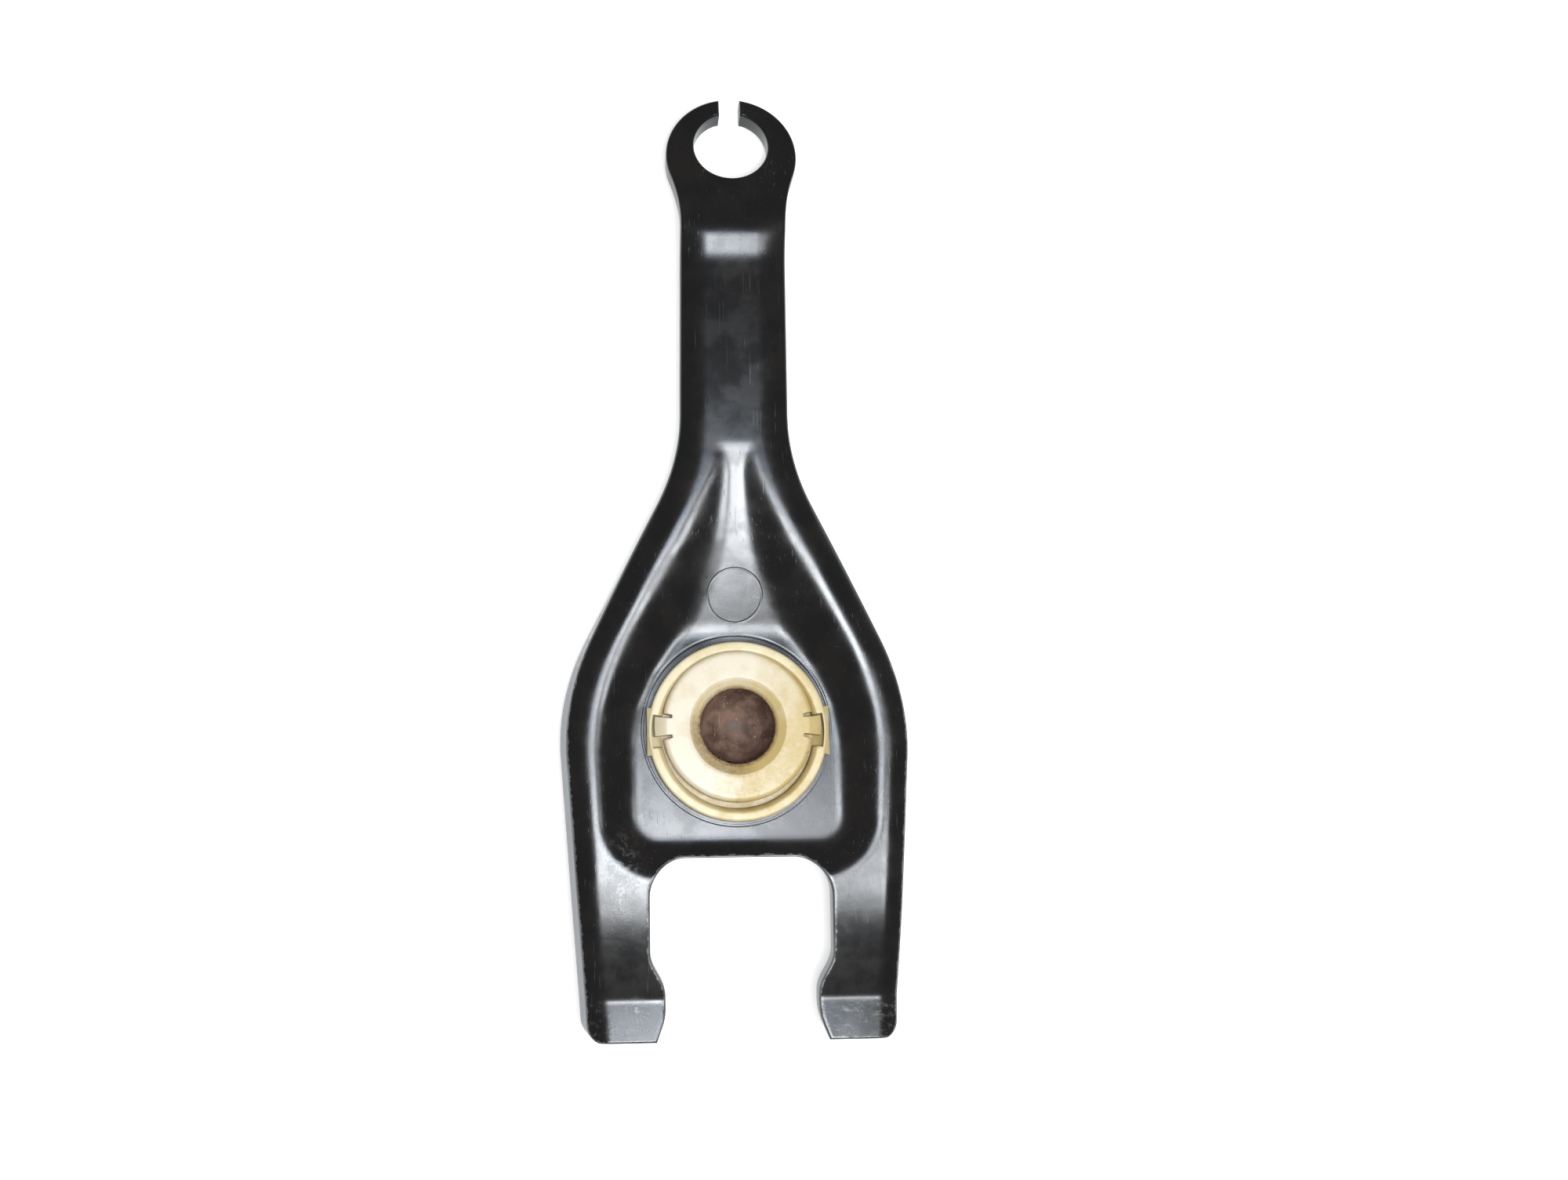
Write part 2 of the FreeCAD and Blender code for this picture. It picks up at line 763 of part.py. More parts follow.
guide = new_body("ball_guide")
rim, face, edge = cell("guide_radius"), seat_z + cell("guide_top"), cell("guide_edge")
bore, lip = cell("ball_radius"), cell("lip_half")
section = new_sketch(guide, "guide_section", turn=90)
draw(
    section,
    [
        (bore + cell("lip_half"), flange),
        (rim, flange),
        (rim, face - edge),
        (rim - edge, face),
        (cell("guide_mouth"), face),
        (bore, lip),
        (bore, -lip),
    ],
)
turned(guide, section, "guide_turned")
lugs = new_sketch(guide, "lugs", z=flange)
slits = new_sketch(guide, "lug_slits", z=flange)
slit_in, slit_end = rim - cell("slit_deep"), lug_half + cell("slit_wide")
for side in (1, -1):
    rectangle(lugs, side * slit_in, side * (rim + cell("lug_out")), -lug_half, lug_half)
    for up in (1, -1):
        rectangle(slits, side * slit_in, side * (rim + 1), up * lug_half, up * slit_end)
pad(guide, lugs, "lugs_pad", face - edge - flange)
pocket(guide, slits, "lug_slits_cut")
place(guide, "Placement", turn=tilt, about=-1)
doc.recompute()

# ---- check and write ---------------------------------------------------------------------

for thing in doc.Objects:
    if "Invalid" in thing.State or "Error" in thing.State:
        raise RuntimeError(thing.Name + " did not build")
for body in (fork, holder, guide):
    shape = body.Shape
    if shape.isNull() or not shape.isValid() or len(shape.Solids) != 1:
        raise RuntimeError(body.Name + " is not one valid solid")
    shape.exportStep("parts/" + body.Label + ".step")
    box = shape.BoundBox
    print(body.Label, round(shape.Volume), "mm3")
    print("  x %.1f to %.1f, y %.1f to %.1f" % (box.XMin, box.XMax, box.YMin, box.YMax))
    print("  z %.1f to %.1f" % (box.ZMin, box.ZMax))
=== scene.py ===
import math
import bmesh
import bpy
import numpy as np
from mathutils import Matrix, Vector


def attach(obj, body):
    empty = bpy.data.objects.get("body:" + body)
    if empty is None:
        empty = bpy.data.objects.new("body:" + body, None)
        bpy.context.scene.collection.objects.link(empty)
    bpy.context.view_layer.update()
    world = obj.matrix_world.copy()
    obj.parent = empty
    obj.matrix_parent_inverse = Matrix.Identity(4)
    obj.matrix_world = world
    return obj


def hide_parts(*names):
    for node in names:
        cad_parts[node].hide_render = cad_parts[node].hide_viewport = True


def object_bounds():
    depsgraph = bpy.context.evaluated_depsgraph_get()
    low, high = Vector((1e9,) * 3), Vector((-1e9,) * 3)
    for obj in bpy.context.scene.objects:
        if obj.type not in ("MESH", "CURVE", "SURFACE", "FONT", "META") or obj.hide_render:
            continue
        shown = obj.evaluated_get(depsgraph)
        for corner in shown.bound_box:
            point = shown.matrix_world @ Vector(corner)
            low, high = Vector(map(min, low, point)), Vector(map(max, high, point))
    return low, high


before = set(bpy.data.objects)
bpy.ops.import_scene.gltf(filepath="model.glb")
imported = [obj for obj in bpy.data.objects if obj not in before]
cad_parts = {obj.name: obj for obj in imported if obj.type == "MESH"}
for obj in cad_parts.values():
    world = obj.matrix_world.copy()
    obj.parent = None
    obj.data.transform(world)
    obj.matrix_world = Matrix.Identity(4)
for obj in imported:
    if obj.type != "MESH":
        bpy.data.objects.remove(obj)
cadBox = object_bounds()
print("frame loaded")

mm = 0.001
weldReach, sliverReach = 0.02 * mm, 0.005 * mm  # points nearer than this are joined, shorter edges go


# small shared tools

def sinDeg(a):
    return math.sin(math.radians(a))


def cosDeg(a):
    return math.cos(math.radians(a))


def tanDeg(a):
    return math.tan(math.radians(a))


def smoothStep(low, high, x):
    # 0 below low, 1 above high, an even S between: 6t^5 - 15t^4 + 10t^3
    t = np.clip((x - low) / (high - low), 0.0, 1.0)
    return t * t * t * (t * (6.0 * t - 15.0) + 10.0)


def smoothMin(a, b, width):
    # the smaller of two heights, with the corner between them rounded over the width
    gap = np.maximum(0.0, width - np.abs(a - b))
    return np.minimum(a, b) - gap * gap / (4.0 * width)


def meshObject(name, points, faces, material):
    # points in millimetres, faces as an array of quads or a list
    mesh = bpy.data.meshes.new(name)
    faces = faces.tolist() if isinstance(faces, np.ndarray) else faces
    mesh.from_pydata((points * mm).tolist(), [], faces)
    mesh.validate()
    piece = bpy.data.objects.new(name, mesh)
    bpy.context.scene.collection.objects.link(piece)
    mergeClose(mesh)
    mesh.shade_smooth()
    mesh.materials.append(material)
    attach(piece, "root")
    return piece


def mergeClose(mesh):
    # joins the seams of neighbouring grids and turns every face outwards
    work = bmesh.new()
    work.from_mesh(mesh)
    bmesh.ops.remove_doubles(work, verts=work.verts, dist=weldReach)
    bmesh.ops.dissolve_degenerate(work, edges=work.edges, dist=sliverReach)
    bmesh.ops.recalc_face_normals(work, faces=work.faces)
    work.to_mesh(mesh)
    work.free()


def gridFaces(rows, columns, first=0, closed=False):
    # quads of a rows x columns grid of points, closed joins the last column to the first
    index = np.arange(rows * columns).reshape(rows, columns) + first
    if closed:
        index = np.hstack([index, index[:, :1]])
    return np.stack([index[:-1, :-1], index[:-1, 1:], index[1:, 1:], index[1:, :-1]], -1).reshape(-1, 4)


def tilted(points, angle, centre=(0.0, 0.0, 0.0)):
    # turns points about the X axis, then moves them to the centre
    c, s = cosDeg(angle), sinDeg(angle)
    turn = np.array([[1, 0, 0], [0, c, -s], [0, s, c]])
    return points @ turn.T + np.array(centre)


# shader tools

def newMaterial(name):
    material = bpy.data.materials.new(name)
    material.use_nodes = True
    material.node_tree.nodes.clear()
    return material, material.node_tree


def node(tree, kind, settings=None, **inputs):
    # a shader node with its settings and unlinked inputs, or links to them
    made = tree.nodes.new(kind)
    for key, value in (settings or {}).items():
        setattr(made, key, value)
    for key, value in inputs.items():
        socket = made.inputs[int(key[1:])] if key[0] == "i" and key[1:].isdigit() else made.inputs[key]
        if isinstance(value, bpy.types.NodeSocket):
            tree.links.new(value, socket)
        else:
            socket.default_value = value
    return made


def noise(tree, vector, scale, detail=4.0, roughness=0.55, distortion=0.0):
    made = node(tree, "ShaderNodeTexNoise", None, Vector=vector, Scale=scale, Detail=detail,
                Roughness=roughness, Distortion=distortion)
    return made.outputs[0]


def ramp(tree, value, low, high, start=0.0, end=1.0):
    # a smooth step from start to end while the value goes from low to high
    made = node(tree, "ShaderNodeMapRange", {"interpolation_type": "SMOOTHSTEP"}, Value=value)
    for name, number in (("From Min", low), ("From Max", high), ("To Min", start), ("To Max", end)):
        made.inputs[name].default_value = number
    return made.outputs[0]


def maths(tree, operation, a, b=0.0, clamp=False):
    made = node(tree, "ShaderNodeMath", {"operation": operation, "use_clamp": clamp}, i0=a, i1=b)
    return made.outputs[0]


def mixColour(tree, amount, a, b):
    made = node(tree, "ShaderNodeMix", {"data_type": "RGBA"}, i0=amount)
    for index, value in ((6, a), (7, b)):
        if isinstance(value, bpy.types.NodeSocket):
            tree.links.new(value, made.inputs[index])
        else:
            made.inputs[index].default_value = (*value, 1.0)
    return made.outputs[2]


def stretched(tree, vector, scale, turn=0.0):
    # object coordinates scaled unevenly, for scratches and streaks
    made = node(tree, "ShaderNodeMapping", None, Vector=vector)
    made.inputs["Scale"].default_value = scale
    made.inputs["Rotation"].default_value = (0.0, 0.0, math.radians(turn))
    return made.outputs[0]


def newGroup(name, inputs, outputs):
    # a node group with named float or colour sockets
    group = bpy.data.node_groups.new(name, "ShaderNodeTree")
    for label, kind, value in inputs:
        socket = group.interface.new_socket(label, in_out="INPUT", socket_type=kind)
        if value is not None:
            socket.default_value = value
    for label, kind in outputs:
        group.interface.new_socket(label, in_out="OUTPUT", socket_type=kind)
    return group, group.nodes.new("NodeGroupInput"), group.nodes.new("NodeGroupOutput")


def place(tree, group, **inputs):
    # a node group placed in a material, its inputs given by name with _ for a space
    made = tree.nodes.new("ShaderNodeGroup")
    made.node_tree = group
    for key, value in inputs.items():
        socket = made.inputs[key.replace("_", " ")]
        if isinstance(value, bpy.types.NodeSocket):
            tree.links.new(value, socket)
        else:
            socket.default_value = value
    return made


def grainGroup():
    # a fine grain and a soft unevenness, given as a height and as a mask from 0 to 1
    group, inside, outside = newGroup(
        "fineGrain",
        [("Vector", "NodeSocketVector", None), ("Grain Size", "NodeSocketFloat", 2000.0),
         ("Patch Size", "NodeSocketFloat", 120.0)],
        [("Height", "NodeSocketFloat"), ("Patches", "NodeSocketFloat")])
    fine = noise(group, inside.outputs[0], inside.outputs[1], 3.0, 0.6)
    broad = noise(group, inside.outputs[0], inside.outputs[2], 5.0, 0.6)
    group.links.new(maths(group, "ADD", fine, maths(group, "MULTIPLY", broad, 0.5)), outside.inputs[0])
    group.links.new(ramp(group, broad, 0.35, 0.68), outside.inputs[1])
    return group


def scratchGroup():
    # thin straight scratches in three directions: the crests of stretched noise, broken up
    group, inside, outside = newGroup(
        "scratches",
        [("Vector", "NodeSocketVector", None), ("Amount", "NodeSocketFloat", 0.5)],
        [("Mask", "NodeSocketFloat")])
    total = None
    for turn, long, across in ((18.0, 40.0, 2600.0), (-52.0, 60.0, 2100.0), (83.0, 50.0, 3000.0)):
        lines = noise(group, stretched(group, inside.outputs[0], (across, long, across), turn), 1.0, 2.0)
        broken = noise(group, stretched(group, inside.outputs[0], (90.0,) * 3, turn), 1.0, 3.0)
        mask = maths(group, "MULTIPLY", ramp(group, lines, 0.66, 0.74), ramp(group, broken, 0.5, 0.62))
        total = mask if total is None else maths(group, "MAXIMUM", total, mask)
    group.links.new(maths(group, "MULTIPLY", total, inside.outputs[1], clamp=True), outside.inputs[0])
    return group


def wearGroup():
    # where a coating is rubbed off: near edges, along a noisy limit
    group, inside, outside = newGroup(
        "edgeWear",
        [("Vector", "NodeSocketVector", None), ("Edge", "NodeSocketFloat", 0.0),
         ("Reach", "NodeSocketFloat", 0.5)],
        [("Mask", "NodeSocketFloat")])
    rough = noise(group, inside.outputs[0], 700.0, 6.0, 0.7)
    ragged = maths(group, "MULTIPLY", maths(group, "SUBTRACT", rough, 0.5), 1.1)
    limit = maths(group, "ADD", inside.outputs[1], ragged)
    edge = maths(group, "SUBTRACT", limit, maths(group, "SUBTRACT", 1.0, inside.outputs[2]))
    group.links.new(ramp(group, edge, 0.0, 0.16), outside.inputs[0])
    return group


def ringGroup():
    # a thin ring about an upright axis: 1 on the ring's radius, 0 past half its width
    group, inside, outside = newGroup(
        "thinRing",
        [("Vector", "NodeSocketVector", None), ("Centre Y", "NodeSocketFloat", 0.0),
         ("Radius", "NodeSocketFloat", 0.01), ("Width", "NodeSocketFloat", 0.0005)],
        [("Mask", "NodeSocketFloat")])
    parts = node(group, "ShaderNodeSeparateXYZ", None, Vector=inside.outputs[0])
    along = maths(group, "SUBTRACT", parts.outputs[1], inside.outputs[1])
    squares = maths(group, "ADD", maths(group, "MULTIPLY", parts.outputs[0], parts.outputs[0]),
                    maths(group, "MULTIPLY", along, along))
    radius = maths(group, "SQRT", squares)
    off = maths(group, "ABSOLUTE", maths(group, "SUBTRACT", radius, inside.outputs[2]))
    share = maths(group, "DIVIDE", off, inside.outputs[3])
    group.links.new(ramp(group, share, 0.5, 0.1), outside.inputs[0])
    return group


fineGrain, scratches, edgeWear, thinRing = grainGroup(), scratchGroup(), wearGroup(), ringGroup()


def attribute(tree, name):
    return node(tree, "ShaderNodeAttribute", {"attribute_name": name}).outputs["Fac"]


def objectPlace(tree):
    return node(tree, "ShaderNodeTexCoord").outputs["Object"]


def shade(tree, constants, **links):
    # the surface shader and the material output, with linked inputs by socket name
    made = tree.nodes.new("ShaderNodeBsdfPrincipled")
    for key, value in constants.items():
        made.inputs[key].default_value = value
    for key, value in links.items():
        tree.links.new(value, made.inputs[key.replace("_", " ")])
    out = tree.nodes.new("ShaderNodeOutputMaterial")
    tree.links.new(made.outputs[0], out.inputs[0])
    return made


# finishes

coatValues = {
    "black": (0.0042, 0.0040, 0.0042), "brownBlack": (0.0088, 0.0070, 0.0058),
    "darkSteel": (0.13, 0.13, 0.13), "paleSteel": (0.25, 0.255, 0.26),
    "glossy": 0.19, "duller": 0.26, "bareDull": 0.18, "softDull": 0.05, "bareMetal": 0.6,
    "grainSize": 3600.0, "patchSize": 110.0, "scratchAmount": 0.8, "wearReach": 0.42,
    "edgeBare": 0.75, "tipBare": 0.40, "scratchBare": 0.30, "railBare": 0.8,
    "waveHeight": 4.0, "scratchHeight": -0.8, "pressedHeight": -4.0,
    "punchWidth": 0.6, "coinedCentre": -0.8, "coinedRadius": 20.1, "coinedWidth": 0.8,
}
nylonValues = {  # for each nylon: clean colour, yellowed colour that also gives painted shade, and soiled colour that also gives painted shade in the gap
    "paleNylon": ((0.66, 0.60, 0.465), (0.50, 0.385, 0.155), (0.17, 0.095, 0.04)),
    "creamNylon": ((0.66, 0.59, 0.385), (0.49, 0.37, 0.14), (0.19, 0.11, 0.045)),
    "scratchColour": (0.42, 0.33, 0.2),
}
greaseValues = {
    "darkGrease": (0.075, 0.042, 0.030), "paleGrease": (0.19, 0.115, 0.085),
    "streakColour": (0.36, 0.27, 0.2), "gritColour": (0.50, 0.42, 0.36),
    "filmInner": 0.02, "filmOuter": 0.35, "filmEdge": 74.0,
}


def blackCoat(punchCentre, punchRadius):
    # glossy black coating over steel, rubbed grey on cut edges and scuffed on the prong ends
    cv = coatValues
    material, tree = newMaterial("blackCoat")
    vector = objectPlace(tree)
    grain = place(tree, fineGrain, Vector=vector, Grain_Size=cv["grainSize"], Patch_Size=cv["patchSize"])
    scratch = place(tree, scratches, Vector=vector, Amount=cv["scratchAmount"]).outputs[0]
    rubbed = place(tree, edgeWear, Vector=vector, Edge=attribute(tree, "cutEdge"),
                   Reach=cv["wearReach"]).outputs[0]
    punch = place(tree, thinRing, Vector=vector, Centre_Y=punchCentre * mm, Radius=punchRadius * mm,
                  Width=cv["punchWidth"] * mm).outputs[0]
    coined = place(tree, thinRing, Vector=vector, Centre_Y=cv["coinedCentre"] * mm,
                   Radius=cv["coinedRadius"] * mm, Width=cv["coinedWidth"] * mm).outputs[0]
    patches = grain.outputs["Patches"]
    # scuffs: streaks across the prong ends, sparse specks along the rails
    streaks = noise(tree, stretched(tree, vector, (420.0, 900.0, 900.0), 8.0), 1.0, 5.0, 0.75)
    tips = maths(tree, "MULTIPLY", attribute(tree, "prongTip"), ramp(tree, streaks, 0.50, 0.72))
    flecks = ramp(tree, noise(tree, vector, 750.0, 5.0, 0.7), 0.50, 0.60)
    scuffs = maths(tree, "MULTIPLY", attribute(tree, "scuff"), flecks)
    specks = ramp(tree, noise(tree, vector, 2300.0, 3.0, 0.6), 0.68, 0.74)
    zones = ramp(tree, noise(tree, vector, 95.0, 4.0, 0.6), 0.52, 0.66)
    rails = maths(tree, "MULTIPLY", maths(tree, "MULTIPLY", attribute(tree, "rubZone"), specks), zones)
    bare = scuffs
    for mask, amount in ((rubbed, "edgeBare"), (tips, "tipBare"), (scratch, "scratchBare"),
                         (rails, "railBare")):
        bare = maths(tree, "MAXIMUM", bare, maths(tree, "MULTIPLY", mask, cv[amount]))
    black = mixColour(tree, patches, cv["black"], cv["brownBlack"])
    steel = mixColour(tree, patches, cv["darkSteel"], cv["paleSteel"])
    dull = maths(tree, "ADD", maths(tree, "MULTIPLY", bare, cv["bareDull"]),
                 maths(tree, "MULTIPLY", attribute(tree, "softened"), cv["softDull"]))
    rough = maths(tree, "ADD", ramp(tree, patches, 0.0, 1.0, cv["glossy"], cv["duller"]), dull)
    # relief: grain, low waves of the sheet, scratches and the two pressed rings
    height = grain.outputs["Height"]
    for mask, amount in ((noise(tree, vector, 170.0, 2.0, 0.5), "waveHeight"), (scratch, "scratchHeight"),
                         (maths(tree, "MAXIMUM", punch, coined), "pressedHeight")):
        height = maths(tree, "ADD", height, maths(tree, "MULTIPLY", mask, cv[amount]))
    bump = node(tree, "ShaderNodeBump", None, Strength=0.8, Distance=0.00001, Height=height)
    shade(tree, {"IOR": 1.52, "Specular Tint": (0.92, 0.96, 1.0, 1.0)},
          Base_Color=mixColour(tree, bare, black, steel), Roughness=rough,
          Metallic=maths(tree, "MULTIPLY", bare, cv["bareMetal"]), Normal=bump.outputs[0])
    return material


def agedShadedNylon(name, pale, yellow, brown):
    # moulded nylon, a little yellowed, brown where dirt stays, and darker and yellower where painted shade is
    # laid: towards the lower right, on the cone, on the rounded edge and in the gap between the rings
    material, tree = newMaterial(name)
    vector = objectPlace(tree)
    grain = place(tree, fineGrain, Vector=vector, Grain_Size=1500.0, Patch_Size=230.0)
    scratch = place(tree, scratches, Vector=vector, Amount=0.6)
    dirtAndGapShade, yellowingAndShade = attribute(tree, "dirtAndGapShade"), attribute(tree, "yellowingAndShade")
    speck = noise(tree, vector, 1100.0, 5.0, 0.7)
    patchy = maths(tree, "MULTIPLY", maths(tree, "SUBTRACT", grain.outputs["Patches"], 0.5), 0.45)
    colour = mixColour(tree, maths(tree, "ADD", yellowingAndShade, patchy, clamp=True), pale, yellow)
    # brown stains, stronger where the painted shade lies
    stain = ramp(tree, noise(tree, vector, 420.0, 5.0, 0.7), 0.58, 0.74, 0.0, 0.55)
    soilAndShade = maths(tree, "MULTIPLY", dirtAndGapShade, ramp(tree, speck, 0.30, 0.60, 0.5, 1.0), clamp=True)
    soilAndShade = maths(tree, "MAXIMUM", soilAndShade, maths(tree, "MULTIPLY", stain, yellowingAndShade))
    scratched = maths(tree, "MULTIPLY", scratch.outputs[0], 0.4)
    colour = mixColour(tree, scratched, colour, nylonValues["scratchColour"])
    colour = mixColour(tree, soilAndShade, colour, brown)
    height = maths(tree, "ADD", grain.outputs["Height"], maths(tree, "MULTIPLY", soilAndShade, 0.6))
    bump = node(tree, "ShaderNodeBump", None, Strength=0.25, Distance=0.00008, Height=height)
    shade(tree, {"IOR": 1.5, "Subsurface Weight": 0.1, "Subsurface Scale": 0.001},
          Base_Color=colour, Normal=bump.outputs[0],
          Roughness=ramp(tree, grain.outputs["Height"], 0.45, 1.05, 0.32, 0.46))
    return material


def oldGrease():
    # brown grease and rust in the ball cup, rubbed by the ball along curved streaks
    material, tree = newMaterial("oldGrease")
    vector = objectPlace(tree)
    grain = place(tree, fineGrain, Vector=vector, Grain_Size=900.0, Patch_Size=260.0)
    scratch = place(tree, scratches, Vector=vector, Amount=1.0)
    grit = ramp(tree, noise(tree, vector, 1700.0, 3.0, 0.6), 0.68, 0.73)
    patches = grain.outputs["Patches"]
    colour = mixColour(tree, patches, greaseValues["darkGrease"], greaseValues["paleGrease"])
    streak = maths(tree, "MULTIPLY", scratch.outputs[0], 0.6)
    colour = mixColour(tree, streak, colour, greaseValues["streakColour"])
    colour = mixColour(tree, maths(tree, "MULTIPLY", grit, 0.8), colour, greaseValues["gritColour"])
    bump = node(tree, "ShaderNodeBump", None, Strength=0.3, Distance=0.00008, Height=grain.outputs["Height"])
    shade(tree, {"IOR": 1.47}, Base_Color=colour, Normal=bump.outputs[0],
          Roughness=ramp(tree, patches, 0.0, 1.0, 0.55, 0.75))
    return material


paleNylon = agedShadedNylon("paleNylon", *nylonValues["paleNylon"])
creamNylon = agedShadedNylon("creamNylon", *nylonValues["creamNylon"])
grease = oldGrease()
print("finishes made")


# the pressed steel fork: its form

forkValues = {
    "gauge": 4.5, "pivotStation": 64.0,
    "tipHalf": 33.3, "tipCorner": 3.0, "sideTaper": 4.2,
    "shoulderStation": 70.0, "shoulderRound": 45.0, "flankAngle": 27.8, "neckRound": 39.0,
    "armHalf": 11.7, "armTaper": 0.5,
    "slotHalf": 19.0, "slotDepth": 36.7, "slotRound": 7.6,
    "lobeHalf": 15.9, "lobeMouth": 18.0, "lobeLow": 4.8, "lobeHigh": 10.6, "lobeRoot": 16.2,
    "tipLift": 17.0, "tipBend": 8.2, "joggleStation": 167.0, "joggleAngle": 13.0,
    "eyeBend": 171.0, "eyeSlope": 16.5, "bodyLift": 8.0,
    "railCrest": 6.0, "railDrop": 2.9, "armCrest": 6.5, "armDrop": 1.9, "armThinning": 1.9,
    "grooveStart": 124.5, "rampSlope": 7.0, "valleyStation": 83.9,
    "seatTilt": 8.0, "seatEnd": 41.0, "seatHalf": 20.6, "seatCorner": 4.0,
    "witnessStation": 91.8, "witnessRadius": 5.85,
    "eyeReach": 16.9, "eyeRadius": 14.15, "eyeHole": 8.05, "eyeHoleReach": 19.4, "eyeGap": 4.5,
    "eyeNeckRound": 36.0,
    "ballRadius": 8.5, "ballHeight": 2.4, "cupGap": 0.1, "domeWall": 3.59,
    "edgeRound": 0.55, "edgeLean": 1.25, "middleColumns": 18, "sideColumns": 24,
    "wallFoot": 3.0, "wallGrowth": 0.45, "valleyRound": 0.55, "cupEdgeRound": 0.35, "domeEdgeRound": 0.9,
    "mouthSpread": 1.4, "lobeSoftening": 1.6, "eyeEasing": 9.0, "edgeWearReach": 1.6,
}
fv = forkValues
taper, flank = tanDeg(fv["sideTaper"]), tanDeg(fv["flankAngle"])
armSlope = tanDeg(fv["armTaper"])
shoulderHalf = fv["tipHalf"] + fv["shoulderStation"] * taper
neckStation = fv["shoulderStation"] + (shoulderHalf - fv["armHalf"]) / flank
joggle, bend, valley = fv["joggleStation"], fv["eyeBend"], fv["valleyStation"]
start = fv["grooveStart"]
armEndHalf = fv["armHalf"] - (bend - neckStation) * armSlope


def halfWidth(s):
    # half width of the blank at a station: three straight sides joined by smooth corners
    s = np.minimum(s, bend)
    wide = fv["shoulderRound"] * tanDeg((fv["sideTaper"] + fv["flankAngle"]) / 2)
    near = fv["neckRound"] * tanDeg(fv["flankAngle"] / 2)
    side = fv["tipHalf"] + s * taper
    slant = shoulderHalf - (s - fv["shoulderStation"]) * flank
    arm = fv["armHalf"] - (s - neckStation) * armSlope
    low = smoothMin(side, slant, wide * (taper + flank))
    return -smoothMin(-low, -arm, near * (flank - armSlope))


slopeKnots = np.array([  # station along the fork, slope in degrees
    (-10.0, -fv["tipLift"]), (fv["tipBend"] - 0.6, -fv["tipLift"]), (fv["tipBend"] + 0.6, 2.0),
    (2 * fv["tipBend"], 1.0), (26.0, -4.0), (33.0, -6.0), (45.0, -fv["bodyLift"]),
    (fv["pivotStation"], -0.8 * fv["bodyLift"]), (valley, -0.35 * fv["bodyLift"]), (valley + 20, 0.0),
    (joggle - 4.5, 0.0), (joggle - 1.5, fv["joggleAngle"]), (joggle + 1.5, fv["joggleAngle"]),
    (bend + 1.5, -fv["eyeSlope"]), (300.0, -fv["eyeSlope"]),
])
spineStep = 0.05
spineStations = np.arange(-10.0, 215.0, spineStep)
spineSlopes = np.tan(np.radians(np.interp(spineStations, slopeKnots[:, 0], slopeKnots[:, 1])))
spineHeights = np.concatenate([[0.0], np.cumsum(0.5 * (spineSlopes[1:] + spineSlopes[:-1]) * spineStep)])
spineHeights -= np.interp(0.5 * (valley + 20.0 + joggle - 4.5), spineStations, spineHeights)


def spineHeight(s):
    # height of the rails and the arm: the slopes along the fork added up, zero on the arm's flat
    return np.interp(s, spineStations, spineHeights)


rampFoot = -(start - valley) * tanDeg(fv["rampSlope"])


def floorHeight(s):
    # the ramp down from the arm and the seat of the holder, meeting in a rounded valley
    ramp = rampFoot + (s - valley) * tanDeg(fv["rampSlope"])
    seat = rampFoot + (valley - s) * tanDeg(fv["seatTilt"])
    return -smoothMin(-ramp, -seat, fv["valleyRound"])


seatHalf = fv["seatHalf"]
floorEdges = np.array([  # station along the fork, half width of the recess floor
    (fv["seatEnd"], seatHalf), (fv["pivotStation"] - 4, seatHalf - 0.3),
    (fv["pivotStation"] + 4, seatHalf - 1.8), (valley - 8, seatHalf - 6.0), (valley, seatHalf - 12.5),
    (fv["witnessStation"], seatHalf - 16.0), (start - 26.5, 2.0), (start - 21.0, 0.7),
    (start - 15.0, 0.3), (start - 6.5, 0.3), (start - 3.0, 0.8), (start - 0.5, 2.4), (start + 1.5, 3.2),
])
seatPoint = fv["pivotStation"] - fv["ballHeight"] * sinDeg(fv["seatTilt"])
lift = -fv["ballHeight"] * cosDeg(fv["seatTilt"]) - float(floorHeight(seatPoint))


def formTop(x, s):
    # cup side of the sheet: spine height, less a round fall to the edges, less the recess
    x = np.abs(x)
    wide = halfWidth(s)
    tilt = halfWidth(s + 0.5) - halfWidth(s - 0.5)
    edge = (wide - x) / np.hypot(1.0, tilt)
    arm = smoothStep(start - 20, start + 6, s)
    eye = smoothStep(joggle - 2, bend + 6, s)
    crest = fv["railCrest"] + arm * (fv["armCrest"] - fv["railCrest"])
    drop = fv["railDrop"] + arm * (fv["armDrop"] - fv["railDrop"])
    outer = np.maximum(0.0, (crest - edge) / crest)
    height = spineHeight(s) - (1 - eye) * drop * outer ** 2
    floorHalf = np.interp(s, floorEdges[:, 0], floorEdges[:, 1])
    rail = wide - crest * np.hypot(1.0, tilt)
    foot = fv["wallFoot"]
    longest = foot + fv["wallGrowth"] * np.maximum(0.0, start - s)
    wall = np.minimum(np.maximum(rail - floorHalf, foot), longest)
    dx = (x - floorHalf) / np.hypot(1.0, tilt) + fv["seatCorner"]
    dy = fv["seatEnd"] - s + fv["seatCorner"]
    away = np.hypot(np.maximum(dx, 0), np.maximum(dy, 0)) + np.minimum(np.maximum(dx, dy), 0)
    away = away - fv["seatCorner"]
    depth = np.maximum(0.0, spineHeight(s) - floorHeight(s)) * (1 - smoothStep(start - 2, start + 1, s))
    height = height - depth * (1 - smoothStep(0.0, wall, away))
    return height + lift, fv["armThinning"] * arm * (1 - eye) * outer ** 2


def formBack(x, s, step=0.2):
    # back of the sheet: the cup side lowered by the gauge measured square to the slope
    top, thinner = formTop(x, s)
    dx = (formTop(x + step, s)[0] - formTop(x - step, s)[0]) / (2 * step)
    dy = (formTop(x, s + step)[0] - formTop(x, s - step)[0]) / (2 * step)
    return top - (fv["gauge"] - thinner) * np.sqrt(1 + dx * dx + dy * dy)


